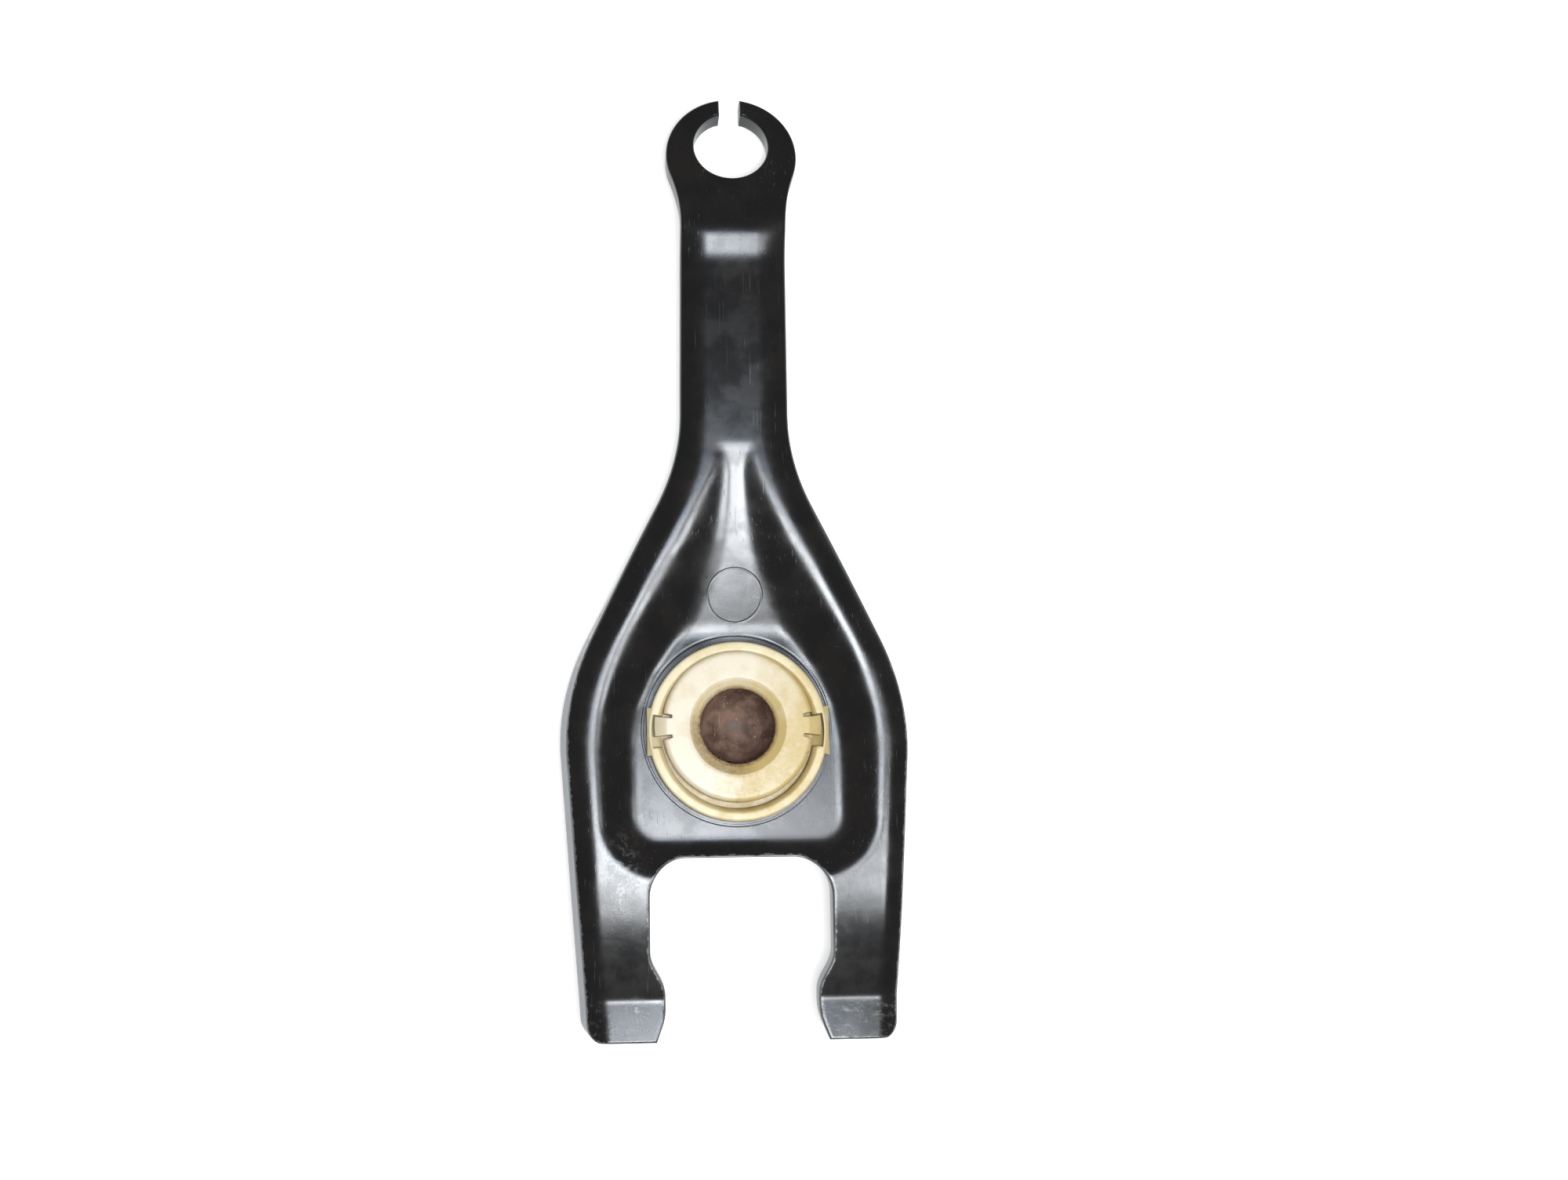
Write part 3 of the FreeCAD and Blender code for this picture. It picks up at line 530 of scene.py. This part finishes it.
def withCup(x, s, top, back):
    # the ball cup sinks a sphere into the cup side and pushes a dome out of the back
    r2 = x * x + (s - fv["pivotStation"]) ** 2
    cup = fv["ballRadius"] + fv["cupGap"]
    dome = cup + fv["domeWall"]
    cupZ, domeZ = (np.where(r2 < r * r, -np.sqrt(np.maximum(r * r - r2, 0.0)), 50.0) for r in (cup, dome))
    return smoothMin(top, cupZ, fv["cupEdgeRound"]), smoothMin(back, domeZ, fv["domeEdgeRound"])


# the pressed steel fork: its blank as structured grids

def slotEdge(s):
    # half width of the slot: chamfered mouth, lobe, straight wall, round corner at the top
    soften = fv["lobeSoftening"]
    stations = [-4.0, fv["lobeLow"], fv["lobeHigh"], fv["lobeRoot"], 60.0]
    halves = [fv["lobeMouth"] + fv["mouthSpread"]] + [fv["lobeHalf"]] * 2 + [fv["slotHalf"]] * 2
    line = np.interp(s, stations, halves)
    # corners of the line softened by the mean of nine places close together
    near = np.mean([np.interp(s + k, stations, halves) for k in np.linspace(-soften, soften, 9)], axis=0)
    line = np.where(s < soften, line, near)
    r = fv["slotRound"]
    up = np.maximum(0.0, s - (fv["slotDepth"] - r))
    return np.where(up > 0, fv["slotHalf"] - r + np.sqrt(np.maximum(r * r - up * up, 0.0)), line)


def outerEdge(s):
    # half width of the blank with the round outer corner of the prong end
    r = fv["tipCorner"]
    down = np.maximum(0.0, r - s)
    return halfWidth(s) - r + np.sqrt(np.maximum(r * r - down * down, 0.0))


def edgeLean(s):
    # the blank is cut before it is pressed, so its cut edge leans outwards beside the recess
    return fv["edgeLean"] * (1 - smoothStep(58.0, 112.0, s))


rim = fv["edgeRound"]
rimSteps = rim * np.array([0.0, 0.08, 0.3, 0.62, 1.0])


def spread(low, high, count, lowRim=True, highRim=True):
    # columns from low to high, arrays over rows, packed close where an edge is rounded
    wide = np.maximum(high - low, 0.0)
    shrink = np.minimum(1.0, 0.4 * wide / rim)[:, None]
    inner = low[:, None] + (rimSteps[None, :] * shrink if lowRim else 0.0 * shrink)
    outer = high[:, None] - (rimSteps[None, ::-1] * shrink if highRim else 0.0 * shrink)
    f = np.linspace(0, 1, count + 2)[1:-1]
    middle = inner[:, -1:] + (outer[:, :1] - inner[:, -1:]) * f[None, :]
    return np.hstack([inner, middle, outer])


def edgeFall(away):
    # how far a rounded edge drops the surface at a distance from the cut
    t = np.clip(1 - away / rim, 0.0, 1.0)
    return rim * (1 - np.sqrt(np.maximum(1 - t * t, 0.0)))


def slotDistance(x, s):
    # distance outside the slot, taken as a rounded rectangle above the lobes
    r = fv["slotRound"]
    dx = np.abs(x) - (fv["slotHalf"] - r)
    dy = s - (fv["slotDepth"] - r)
    corner = np.hypot(np.maximum(dx, 0), np.maximum(dy, 0)) + np.minimum(np.maximum(dx, dy), 0) - r
    return np.where(s > fv["lobeRoot"] + 2, corner, np.abs(x) - slotEdge(s))


points, faces = [], []


def addGrid(grid):
    # adds a rows x columns x 3 grid of points to the fork
    first = sum(len(block) for block in points)
    points.append(grid.reshape(-1, 3))
    faces.append(gridFaces(*grid.shape[:2], first))


def plateGrids(x, s, away):
    # cup side and back of a block of the blank, lowered and raised at its rounded edges
    top, back = formTop(x, s)[0], formBack(x, s)
    top, back = withCup(x, s, top, back)
    fall = edgeFall(away)
    y = s - fv["pivotStation"]
    return np.stack([x, y, top - fall], -1), np.stack([x, y, back + fall], -1)


def wallBetween(topEdge, backEdge, steps=4):
    # cut face between two edge lines
    f = np.linspace(0, 1, steps + 1)[None, :, None]
    return topEdge[:, None, :] * (1 - f) + backEdge[:, None, :] * f


def addSlab(top, back, *edges):
    # cup side and back of a block of the sheet, and its cut faces along the given edges
    addGrid(top)
    addGrid(back)
    for edge in edges:
        addGrid(wallBetween(top[edge], back[edge]))


def stationRows(*parts):
    return np.unique(np.round(np.concatenate(parts), 4))


# prongs, right then left
angles = np.radians(np.linspace(0, 90, 15))
prongRows = stationRows(
    rimSteps, fv["tipCorner"] * (1 - np.cos(angles)), np.arange(3.0, 20.0, 0.45),
    np.arange(20.0, fv["slotDepth"] - fv["slotRound"], 0.8),
    fv["slotDepth"] - fv["slotRound"] + fv["slotRound"] * np.sin(angles))
prongSides = []
for lean in (edgeLean(prongRows), 0.0 * prongRows):
    x = spread(slotEdge(prongRows), outerEdge(prongRows) - lean, fv["sideColumns"])
    s = np.repeat(prongRows[:, None], x.shape[1], 1)
    away = np.minimum.reduce([slotDistance(x, s), (outerEdge(s) - lean[:, None] - x) * 0.98, s])
    prongSides.append((x, s, away))
for side in (1, -1):
    top = plateGrids(prongSides[0][0] * side, *prongSides[0][1:])[0]
    back = plateGrids(prongSides[1][0] * side, *prongSides[1][1:])[1]
    addSlab(top, back, np.s_[:, 0], np.s_[:, -1], np.s_[0])

# half columns of the body, arm and eye: a middle share as wide as the flat top of the slot,
# first on the cup side, whose edge is drawn in, then on the back
slotFlat, slotTop = fv["slotHalf"] - fv["slotRound"], np.array(fv["slotDepth"])
topShare = slotFlat / float(outerEdge(slotTop) - edgeLean(slotTop))
backShare = slotFlat / float(outerEdge(slotTop))


def halfColumns(low, high, share):
    middle = low + share * (high - low)
    near = spread(low, middle, fv["middleColumns"], highRim=False)
    return np.hstack([near[:, :-1], spread(middle, high, fv["sideColumns"])])


# body and arm, from the top of the slot to the bend of the eye
bodyRows = stationRows(
    fv["slotDepth"] + rimSteps, np.arange(fv["slotDepth"] + 1.2, 84.0, 0.85),
    np.arange(84.0, 128.0, 0.95), np.arange(128.0, joggle - 6, 2.0),
    np.arange(joggle - 6, bend, 0.6), [bend])
bodySides = []
for lean, share in ((edgeLean(bodyRows), topShare), (0.0 * bodyRows, backShare)):
    half = outerEdge(bodyRows) - lean
    rightX = halfColumns(np.zeros_like(half), half, share)
    x = np.hstack([-rightX[:, :0:-1], rightX])
    s = np.repeat(bodyRows[:, None], x.shape[1], 1)
    away = np.minimum(slotDistance(x, s), (half[:, None] - np.abs(x)) * 0.95)
    bodySides.append(plateGrids(x, s, away))
top, back = bodySides[0][0], bodySides[1][1]
slotColumns = np.abs(x[0]) <= slotFlat + 1e-6
addSlab(top, back, np.s_[:, 0], np.s_[:, -1], np.s_[0, slotColumns])

# cable eye: plan lines of the bent plate, l along the plate from the bend, round hole and gap
eyeReach, eyeRadius, eyeNeck = fv["eyeReach"], fv["eyeRadius"], fv["eyeNeckRound"]
eyeHole, holeReach = fv["eyeHole"], fv["eyeHoleReach"]
neckL = eyeReach - math.sqrt((eyeRadius + eyeNeck) ** 2 - (armEndHalf + eyeNeck) ** 2)
neckEnd = neckL + (eyeReach - neckL) * eyeNeck / (eyeRadius + eyeNeck)
gapHalf = fv["eyeGap"] / 2
gapL = holeReach + math.sqrt(eyeHole ** 2 - gapHalf ** 2)


def eyeOuter(l):
    # arm side, then the fillet of the neck, then the circle of the eye
    fillet = armEndHalf + eyeNeck - np.sqrt(np.maximum(eyeNeck ** 2 - (l - neckL) ** 2, 0.0))
    ring = np.sqrt(np.maximum(eyeRadius ** 2 - (l - eyeReach) ** 2, 0.0))
    return np.where(l < neckL, armEndHalf, np.where(l < neckEnd, fillet, ring))


def eyeInner(l):
    # the hole, then the gap above it, nothing below it
    hole = np.sqrt(np.maximum(eyeHole ** 2 - (l - holeReach) ** 2, 0.0))
    return np.where(l > gapL, gapHalf, hole)


sinSlope, cosSlope = sinDeg(fv["eyeSlope"]), cosDeg(fv["eyeSlope"])


def eyeGrids(x, l, away):
    # the bent end: positions run along the plate, and its back stands off square to it
    s = bend + l * cosSlope
    top = formTop(x, s)[0]
    slack = smoothStep(0.0, fv["eyeEasing"], l)
    backVertical = formBack(x, s)
    fall = edgeFall(away)
    off = fv["gauge"]
    y = s - fv["pivotStation"]
    front = np.stack([x, y - fall * sinSlope * slack, top - fall * (1 - (1 - cosSlope) * slack)], -1)
    straight = np.stack([x, y, backVertical], -1)
    square = np.stack([x, y - off * sinSlope, top - off * cosSlope], -1)
    back = straight * (1 - slack[..., None]) + square * slack[..., None]
    back[..., 1] += fall * sinSlope * slack
    back[..., 2] += fall
    return front, back


def eyeAway(x, l):
    # distance to the nearest cut edge of the eye
    hole = np.hypot(x, l - holeReach) - eyeHole
    inner = np.where(l > gapL, np.abs(x) - gapHalf, hole)
    outer = np.where(l < neckL, armEndHalf - np.abs(x), eyeRadius - np.hypot(x, l - eyeReach))
    neck = np.hypot(np.abs(x) - armEndHalf - eyeNeck, l - neckL) - eyeNeck
    return np.minimum(inner, np.where((l >= neckL) & (l < neckEnd), neck, outer))


holeSweep = np.radians(np.linspace(0.0, 180.0, 61))
gapAngle = math.acos((gapL - holeReach) / eyeHole)
topAngle = math.acos((gapL - eyeReach) / eyeRadius)
tipAngle = math.asin(gapHalf / eyeRadius)
eyeRows = stationRows(
    np.arange(0.0, holeReach - eyeHole - rim, 0.5), holeReach - eyeHole - rimSteps,
    holeReach - eyeHole * np.cos(holeSweep[holeSweep < math.pi - gapAngle]),
    eyeReach + eyeRadius * np.cos(np.linspace(topAngle, tipAngle, 28)))
eyeTopX = halfColumns(eyeInner(eyeRows), eyeOuter(eyeRows), topShare)
eyeBackX = halfColumns(eyeInner(eyeRows), eyeOuter(eyeRows), backShare)
eyeL = np.repeat(eyeRows[:, None], eyeTopX.shape[1], 1)
openRows = eyeRows >= holeReach - eyeHole - 1e-6
for side in (1, -1):
    top = eyeGrids(eyeTopX * side, eyeL, eyeAway(eyeTopX, eyeL))[0]
    back = eyeGrids(eyeBackX * side, eyeL, eyeAway(eyeBackX, eyeL))[1]
    addSlab(top, back, np.s_[:, -1], np.s_[openRows, 0], np.s_[-1])
print("fork surfaces worked out")


def paintAttribute(mesh, name, values):
    layer = mesh.attributes.new(name, "FLOAT", "POINT")
    layer.data.foreach_set("value", np.clip(values, 0.0, 1.0).astype(np.float32))


def meshPlaces(mesh):
    # the mesh's points as arrays of x, y and z in millimetres
    flat = np.empty(len(mesh.vertices) * 3)
    mesh.vertices.foreach_get("co", flat)
    return flat.reshape(-1, 3).T / mm


coat = blackCoat(fv["witnessStation"] - fv["pivotStation"], fv["witnessRadius"])
fork = meshObject("forkPressing", np.vstack(points), np.vstack(faces), coat)
x, y, z = meshPlaces(fork.data)
s = y + fv["pivotStation"]
l = (s - bend) / cosSlope
fullAway = outerEdge(np.clip(s, 0, bend)) - np.abs(x)
outerAway = fullAway - edgeLean(s)
flatAway = np.minimum(slotDistance(x, s), np.minimum(outerAway, s))
away = np.where(s < bend, flatAway, np.minimum(eyeAway(x, l), 50.0))
worn = 1.0 - 0.6 * smoothStep(50.0, 110.0, s) - 0.3 * smoothStep(150.0, 165.0, s)
paintAttribute(fork.data, "cutEdge", worn * (1.0 - np.maximum(away, 0.0) / fv["edgeWearReach"]))
onTop = smoothStep(-1.2, 0.2, z - formTop(x, np.clip(s, 0, 20))[0])
paintAttribute(fork.data, "prongTip", (1 - smoothStep(7.2, 8.6, s)) * onTop)
floorHalf = np.interp(s, floorEdges[:, 0], floorEdges[:, 1])
# a little duller: the seat of the holder and the cable end
seat = smoothStep(38.0, 42.0, s) * (1 - smoothStep(78.0, 96.0, s))
seat = (1 - smoothStep(0.0, 2.5, np.abs(x) - floorHalf)) * seat
paintAttribute(fork.data, "softened", seat + smoothStep(158.0, 162.0, s))
# two knocks on the left prong: a bell over each place
knocks = np.exp(-((x + 25.0) / 2.6) ** 2 - ((y + 32.0) / 6.0) ** 2)
knocks = np.maximum(knocks, 0.7 * np.exp(-((x + 22.0) / 1.2) ** 2 - ((y + 58.0) / 2.0) ** 2))
paintAttribute(fork.data, "scuff", knocks)
# rubbed places: both rails beside the recess, and the prongs below it
onRail = smoothStep(3.0, 5.0, fullAway) * smoothStep(0.5, 3.0, np.abs(x) - floorHalf)
alongRail = smoothStep(2.0, 10.0, s) * (1 - smoothStep(100.0, 128.0, s))
paintAttribute(fork.data, "rubZone", onRail * alongRail)
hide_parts("fork")
print("fork pressing made:", len(fork.data.polygons), "faces")


# the plastic holder and guide: turned profiles whose radii change round the ring

seatTilt = -fv["seatTilt"]
holderValues = {
    "seatZ": -2.4, "shift": 1.0, "radius": 19.0, "wall": 1.9, "height": 3.4,
    "flangeThick": 0.8, "flangeInner": 13.0, "rimRound": 0.55,
    "footGap": 0.3, "floorGap": 0.2, "slopeFoot": 1.5, "notchGap": 0.6, "tabRight": 0.40, "tabLeft": 0.20,
    "legHalf": 4.95, "legOut": 1.0, "legThick": 2.4, "legGap": 0.2, "legTopDrop": 0.3,
    "hookOut": 1.2, "hookTall": 2.4, "softEdge": 0.25,
}
guideValues = {
    "radius": 16.0, "top": 4.2, "mouth": 10.25, "edgeRound": 1.0, "bore": 7.95, "lipHalf": 0.6,
    "lugHalf": 1.9, "lugOut": 1.7, "slitWide": 0.9, "slitDeep": 1.9,
}
hv, gv = holderValues, guideValues


def roundedProfile(corners, steps=6):
    # closed outline through (radius, height, rounding) corners, each rounding a circle's arc
    pieces = []
    count = len(corners)
    for i, (r, h, fillet) in enumerate(corners):
        here = np.array([r, h])
        a = np.array(corners[i - 1][:2]) - here
        b = np.array(corners[(i + 1) % count][:2]) - here
        a, b = a / np.hypot(*a), b / np.hypot(*b)
        halfAngle = math.acos(float(np.clip(a @ b, -1, 1))) / 2
        reach = fillet / math.tan(halfAngle)
        centre = here + (a + b) / np.hypot(*(a + b)) * fillet / math.sin(halfAngle)
        start, end = here + a * reach - centre, here + b * reach - centre
        t = np.linspace(0, 1, steps)[:, None]
        arc = start * (1 - t) + end * t
        arc *= fillet / np.hypot(arc[:, 0], arc[:, 1])[:, None]
        pieces.append(centre + arc)
        # a few points along the straight run to the next corner
        nextCorner = np.array(corners[(i + 1) % count][:2])
        extra = int(min(6, np.hypot(*(nextCorner - here)) / 0.9))
        f = np.linspace(0, 1, extra + 2)[1:-1, None]
        pieces.append((here + b * reach) * (1 - f) + (nextCorner - b * 0.3) * f)
    return np.vstack(pieces)


def ringAngles(marks, fine=0.12, count=240):
    # angles round the ring, with two close together at each mark, where a radius jumps
    even = np.linspace(0, 360, count, endpoint=False)
    extra = np.concatenate([[m - fine, m + fine] for m in marks]) % 360
    keep = np.min(np.abs((even[:, None] - extra[None, :] + 180) % 360 - 180), axis=1) > 0.5
    return np.radians(np.sort(np.concatenate([even[keep], extra])))


def atHalfWidths(radius, widths):
    # angles at which the ring is this far from the X axis, on both sides of the ring
    marks = []
    for w in widths:
        a = math.degrees(math.asin(w / radius))
        marks += [a, -a, 180 - a, 180 + a]
    return np.array(marks)


def turnedRing(profile, angles, shape):
    # the profile carried round, its radii and heights changed by shape(radius, height, angle)
    r, h = (np.repeat(profile[:, k:k + 1], len(angles), 1) for k in (0, 1))
    a = np.repeat(angles[None, :], len(profile), 0)
    r, h = shape(r, h, a)
    grid = np.stack([r * np.cos(a), r * np.sin(a), h], -1)
    rows, columns = grid.shape[:2]
    closed = gridFaces(rows, columns, 0, True)
    last = np.arange(columns) + (rows - 1) * columns
    first = np.arange(columns)
    seam = np.stack([last, np.roll(last, -1), np.roll(first, -1), first], -1)
    return grid.reshape(-1, 3), np.vstack([closed, seam])


def nearAxis(a, halfWidth, radius):
    # 1 where the ring is within this distance of the X axis
    return (np.abs(np.sin(a)) * radius < halfWidth).astype(float)


def guideShape(r, h, a):
    # lugs stand out at both sides, each between two slits
    lug = nearAxis(a, gv["lugHalf"], gv["radius"])
    slit = nearAxis(a, gv["lugHalf"] + gv["slitWide"], gv["radius"]) * (1 - lug)
    r = np.where(lug * (r > gv["radius"] - 0.32) > 0, r + gv["lugOut"], r)
    r = np.where(slit > 0, np.minimum(r, gv["radius"] - gv["slitDeep"]), r)
    return r, h


low, face = hv["seatZ"] + hv["flangeThick"], hv["seatZ"] + gv["top"]
guideProfile = roundedProfile([
    (gv["bore"] + gv["lipHalf"], low, 0.2), (gv["radius"], low, 0.2),
    (gv["radius"], face, gv["edgeRound"]), (gv["mouth"], face, 0.3),
    (gv["bore"], gv["lipHalf"], 0.35), (gv["bore"], -gv["lipHalf"], 0.2),
])
slitMarks = atHalfWidths(gv["radius"], [gv["lugHalf"], gv["lugHalf"] + gv["slitWide"]])
guidePoints, guideFaces = turnedRing(guideProfile, ringAngles(slitMarks), guideShape)
guide = meshObject("ballGuide", tilted(guidePoints, seatTilt), guideFaces, paleNylon)
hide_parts("ball_guide")

rimInner, rimTop = hv["radius"] - hv["wall"], hv["seatZ"] + hv["height"]
notchHalf = gv["lugHalf"] + hv["notchGap"] + gv["slitWide"]


def holderShape(r, h, a):
    # flat tabs stand out at both sides below the rim, and a notch takes each lug of the guide
    tab = nearAxis(a, hv["legHalf"], hv["radius"]) * (h < rimTop - hv["rimRound"])
    out = hv["legOut"] * np.where(np.cos(a) > 0, hv["tabRight"], hv["tabLeft"])
    flat = (hv["radius"] + out) / np.maximum(np.abs(np.cos(a)), 0.2)
    r = np.where((tab > 0) & (r > hv["radius"] - 0.05), flat, r)
    notch = nearAxis(a, notchHalf, rimInner) * (h > low + 0.05)
    notchR = gv["radius"] + gv["lugOut"] + hv["notchGap"]
    r = np.where((notch > 0) & (r < notchR), notchR, r)
    return r, h


holderCorners = [
    (hv["flangeInner"], hv["seatZ"], 0.15), (hv["radius"], hv["seatZ"], 0.15),
    (hv["radius"], rimTop, hv["rimRound"]), (rimInner, rimTop, hv["rimRound"]),
    (gv["radius"] + hv["footGap"], low + hv["slopeFoot"], 0.15), (gv["radius"] + hv["floorGap"], low, 0.1),
    (hv["flangeInner"], low, 0.15),
]
holderMarks = np.concatenate([atHalfWidths(hv["radius"], [hv["legHalf"]]),
                              atHalfWidths(rimInner, [notchHalf])])
holderCentre = (0.0, -hv["shift"] * cosDeg(seatTilt), -hv["shift"] * sinDeg(seatTilt))
holderPoints, holderFaces = turnedRing(roundedProfile(holderCorners), ringAngles(holderMarks), holderShape)
holder = meshObject("ballHolder", tilted(holderPoints, seatTilt, holderCentre), holderFaces,
                    creamNylon)
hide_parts("ball_holder")
print("plastic rings made")


def prism(outline, halfWidth):
    # an (x, z) outline carried straight along Y
    x, z = np.array(outline).T
    count = len(x)
    ends = [np.column_stack([x, np.full(count, y), z]) for y in (-halfWidth, halfWidth)]
    i = np.arange(count)
    sides = np.stack([i, np.roll(i, -1), np.roll(i, -1) + count, i + count], -1)
    return np.vstack(ends), sides.tolist() + [i[::-1].tolist(), (i + count).tolist()]


def snapLeg(side):
    # leg of the holder: straight through the sheet, then a hook turned outward beneath it
    legOuter, nose = hv["radius"] + hv["legOut"], hv["hookOut"] / 2
    legInner = legOuter - hv["legThick"]
    hookTop = hv["seatZ"] - fv["gauge"] - hv["legGap"]
    legTop = hv["seatZ"] - hv["legTopDrop"]
    places, sides = prism([
        (legInner, hookTop - hv["hookTall"]), (legOuter - nose, hookTop - hv["hookTall"]),
        (legOuter + hv["hookOut"], hookTop - nose), (legOuter + hv["hookOut"], hookTop),
        (legOuter, hookTop), (legOuter, legTop), (legInner, legTop)], hv["legHalf"])
    places[:, 0] *= side
    leg = meshObject("snapLegRight" if side > 0 else "snapLegLeft", tilted(places, seatTilt, holderCentre),
                     sides, creamNylon)
    bevel = leg.modifiers.new("softEdges", "BEVEL")
    bevel.width, bevel.segments = hv["softEdge"] * mm, 3


for side in (1, -1):
    snapLeg(side)


def greaseBowl():
    # thin brown film that lines the ball cup: part of a sphere, closed underneath
    polar = np.radians(np.linspace(0.5, greaseValues["filmEdge"], 60))[:, None]
    around = np.radians(np.linspace(0, 360, 120, endpoint=False))[None, :]
    inner, outer = (
        np.stack([r * np.sin(polar) * np.cos(around), r * np.sin(polar) * np.sin(around),
                  -r * np.cos(polar) + 0 * around], -1)
        for r in (fv["ballRadius"] + greaseValues["filmInner"], fv["ballRadius"] + greaseValues["filmOuter"]))
    grid = np.concatenate([inner, outer[::-1]])
    rows, columns = grid.shape[:2]
    caps = [np.arange(columns).tolist(), ((rows - 1) * columns + np.arange(columns)).tolist()]
    meshObject("cupGrease", grid.reshape(-1, 3), gridFaces(rows, columns, 0, True).tolist() + caps,
               grease)


greaseBowl()


def paintPlastic(piece, centreY, isGuide):
    # dirt and grease round the opening, a little even yellowing, and painted shade: in the gap between the
    # rings, on the cone of the mouth and the rounded outer edge, and across each ring towards the lower right
    x, y, z = meshPlaces(piece.data)
    y, z = y - centreY, z - y * tanDeg(seatTilt)
    radius = np.hypot(x, y) + 0.001
    # painted shade: each ring darker and yellower towards the lower right
    shadedLowerRight = smoothStep(-0.6, 0.9, (x - 0.5 * y) / radius)
    if isGuide:
        smear = smoothStep(0.2, 0.95, (-x - y) / (1.3 * radius))
        mouth = (1 - smoothStep(8.0, 8.5, radius)) + 0.6 * smear * (1 - smoothStep(9.2, 11.2, radius))
        # the rounded outer edge and the cone of the mouth, both given painted shade below
        shoulder = smoothStep(14.9, 15.9, radius)
        cone = 1 - smoothStep(9.9, 10.3, radius)
        # dirt and grease in the bore, and dirt with painted shade low on the outer wall, in the gap to the
        # holder
        dirtAndGapShade = 0.9 * smoothStep(15.9, 16.1, radius) * (1 - smoothStep(-1.0, 0.6, z)) + mouth
        # painted shade: the face darker and yellower towards the lower right, and the cone and rounded outer
        # edge darker
        yellowingAndShade = 0.9 * smoothStep(-7.0, 15.0, x - 0.4 * y) + 0.6 * cone + (0.2 + 0.5 * shadedLowerRight) * shoulder
    else:
        inside = 1 - smoothStep(16.9, 17.4, radius)
        # dirt with painted shade at the foot of the gap between the rings, more to the lower right
        dirtAndGapShade = (1 - smoothStep(16.3, 16.6, radius)) * (0.3 + 0.2 * shadedLowerRight)
        # a little even yellowing, with painted shade towards the lower right and on the inner wall of the rim
        yellowingAndShade = 0.12 + 0.45 * shadedLowerRight + 0.25 * inside
    paintAttribute(piece.data, "dirtAndGapShade", dirtAndGapShade)
    paintAttribute(piece.data, "yellowingAndShade", yellowingAndShade)


paintPlastic(guide, 0.0, True)
paintPlastic(holder, -hv["shift"], False)
print("plastic parts made")


# camera, floor and light

stageValues = {
    "look": (-13.21, 28.94), "distance": 323.9, "lean": 3.0, "pitch": 1.59, "roll": -0.413,
    "lens": 35.1, "shift": 0.07,
    # place, target, size, power and colour of each lamp
    "softboxAbove": ((2.0, -3.0, 345.0), (0.0, 15.0, 0.0), (95.0, 84.0), 0.86, (1.0, 1.0, 1.0)),
    "softboxSide": ((118.0, -8.0, 330.0), (0.0, 15.0, 0.0), (60.0, 80.0), 0.40, (1.0, 1.0, 1.0)),
    "softboxBack": ((12.0, 68.0, 345.0), (0.0, -40.0, 0.0), (110.0, 26.0), 0.15, (0.78, 0.88, 1.0)),
    "sky": 0.24, "floorGlow": 0.55, "floorTone": 0.86, "floorReach": 3.0, "floorDrop": 0.2,
}
sv = stageValues


def pointAt(thing, place, target):
    thing.location = Vector(place) * mm
    thing.rotation_euler = (Vector(target) - Vector(place)).to_track_quat("-Z", "Y").to_euler()


camera = bpy.data.cameras.new("camera")
camera.lens, camera.sensor_width, camera.shift_x = sv["lens"], 36.0, sv["shift"]
camera.clip_start, camera.clip_end = 0.01, 20.0
eyePoint = bpy.data.objects.new("camera", camera)
bpy.context.scene.collection.objects.link(eyePoint)
bpy.context.scene.camera = eyePoint
# the view axis leans towards +X, a little towards +Y, and is rolled by under a degree
axis = np.array([sinDeg(sv["lean"]) * cosDeg(sv["pitch"]), sinDeg(sv["pitch"]),
                 -cosDeg(sv["lean"]) * cosDeg(sv["pitch"])])
across = np.array([cosDeg(sv["lean"]), 0.0, sinDeg(sv["lean"])])
upward = np.cross(across, axis)
across, upward = (across * cosDeg(sv["roll"]) + upward * sinDeg(sv["roll"]),
                  upward * cosDeg(sv["roll"]) - across * sinDeg(sv["roll"]))
eyePoint.location = ((np.array([*sv["look"], 0.0]) - sv["distance"] * axis) * mm).tolist()
eyePoint.rotation_euler = Matrix(np.stack([across, upward, -axis], 1).tolist()).to_euler()


def softbox(name, place, target, size, power, colour):
    lamp = bpy.data.lights.new(name, "AREA")
    lamp.shape, lamp.size, lamp.size_y = "RECTANGLE", size[0] * mm, size[1] * mm
    lamp.energy, lamp.color = power, colour
    box = bpy.data.objects.new(name, lamp)
    bpy.context.scene.collection.objects.link(box)
    pointAt(box, place, target)


for name in ("softboxAbove", "softboxSide", "softboxBack"):
    softbox(name, *sv[name])

floorMesh = bpy.data.meshes.new("floor")
reach, floorZ = sv["floorReach"], cadBox[0][2] - sv["floorDrop"] * mm
floorMesh.from_pydata([(-reach, -reach, floorZ), (reach, -reach, floorZ), (reach, reach, floorZ),
                       (-reach, reach, floorZ)], [], [(0, 1, 2, 3)])
floor = bpy.data.objects.new("floor", floorMesh)
bpy.context.scene.collection.objects.link(floor)
paper, tree = newMaterial("paper")
surface = shade(tree, {"Base Color": (*[sv["floorTone"]] * 3, 1.0), "Roughness": 0.9,
                       "Emission Color": (1.0, 1.0, 1.0, 1.0)})
# the paper glows only where it is seen, in mirrors and through clear parts too
lightPath = tree.nodes.new("ShaderNodeLightPath")
seen = maths(tree, "ADD", lightPath.outputs["Is Camera Ray"], lightPath.outputs["Is Glossy Ray"])
seen = maths(tree, "ADD", seen, lightPath.outputs["Is Transmission Ray"], clamp=True)
tree.links.new(maths(tree, "MULTIPLY", seen, sv["floorGlow"]), surface.inputs["Emission Strength"])
floorMesh.materials.append(paper)

world = bpy.data.worlds.new("room")
bpy.context.scene.world = world
world.use_nodes = True
world.node_tree.nodes["Background"].inputs[0].default_value = (1.0, 1.0, 1.0, 1.0)
world.node_tree.nodes["Background"].inputs[1].default_value = sv["sky"]
bpy.context.scene.view_settings.view_transform = "Standard"
print("stage set")
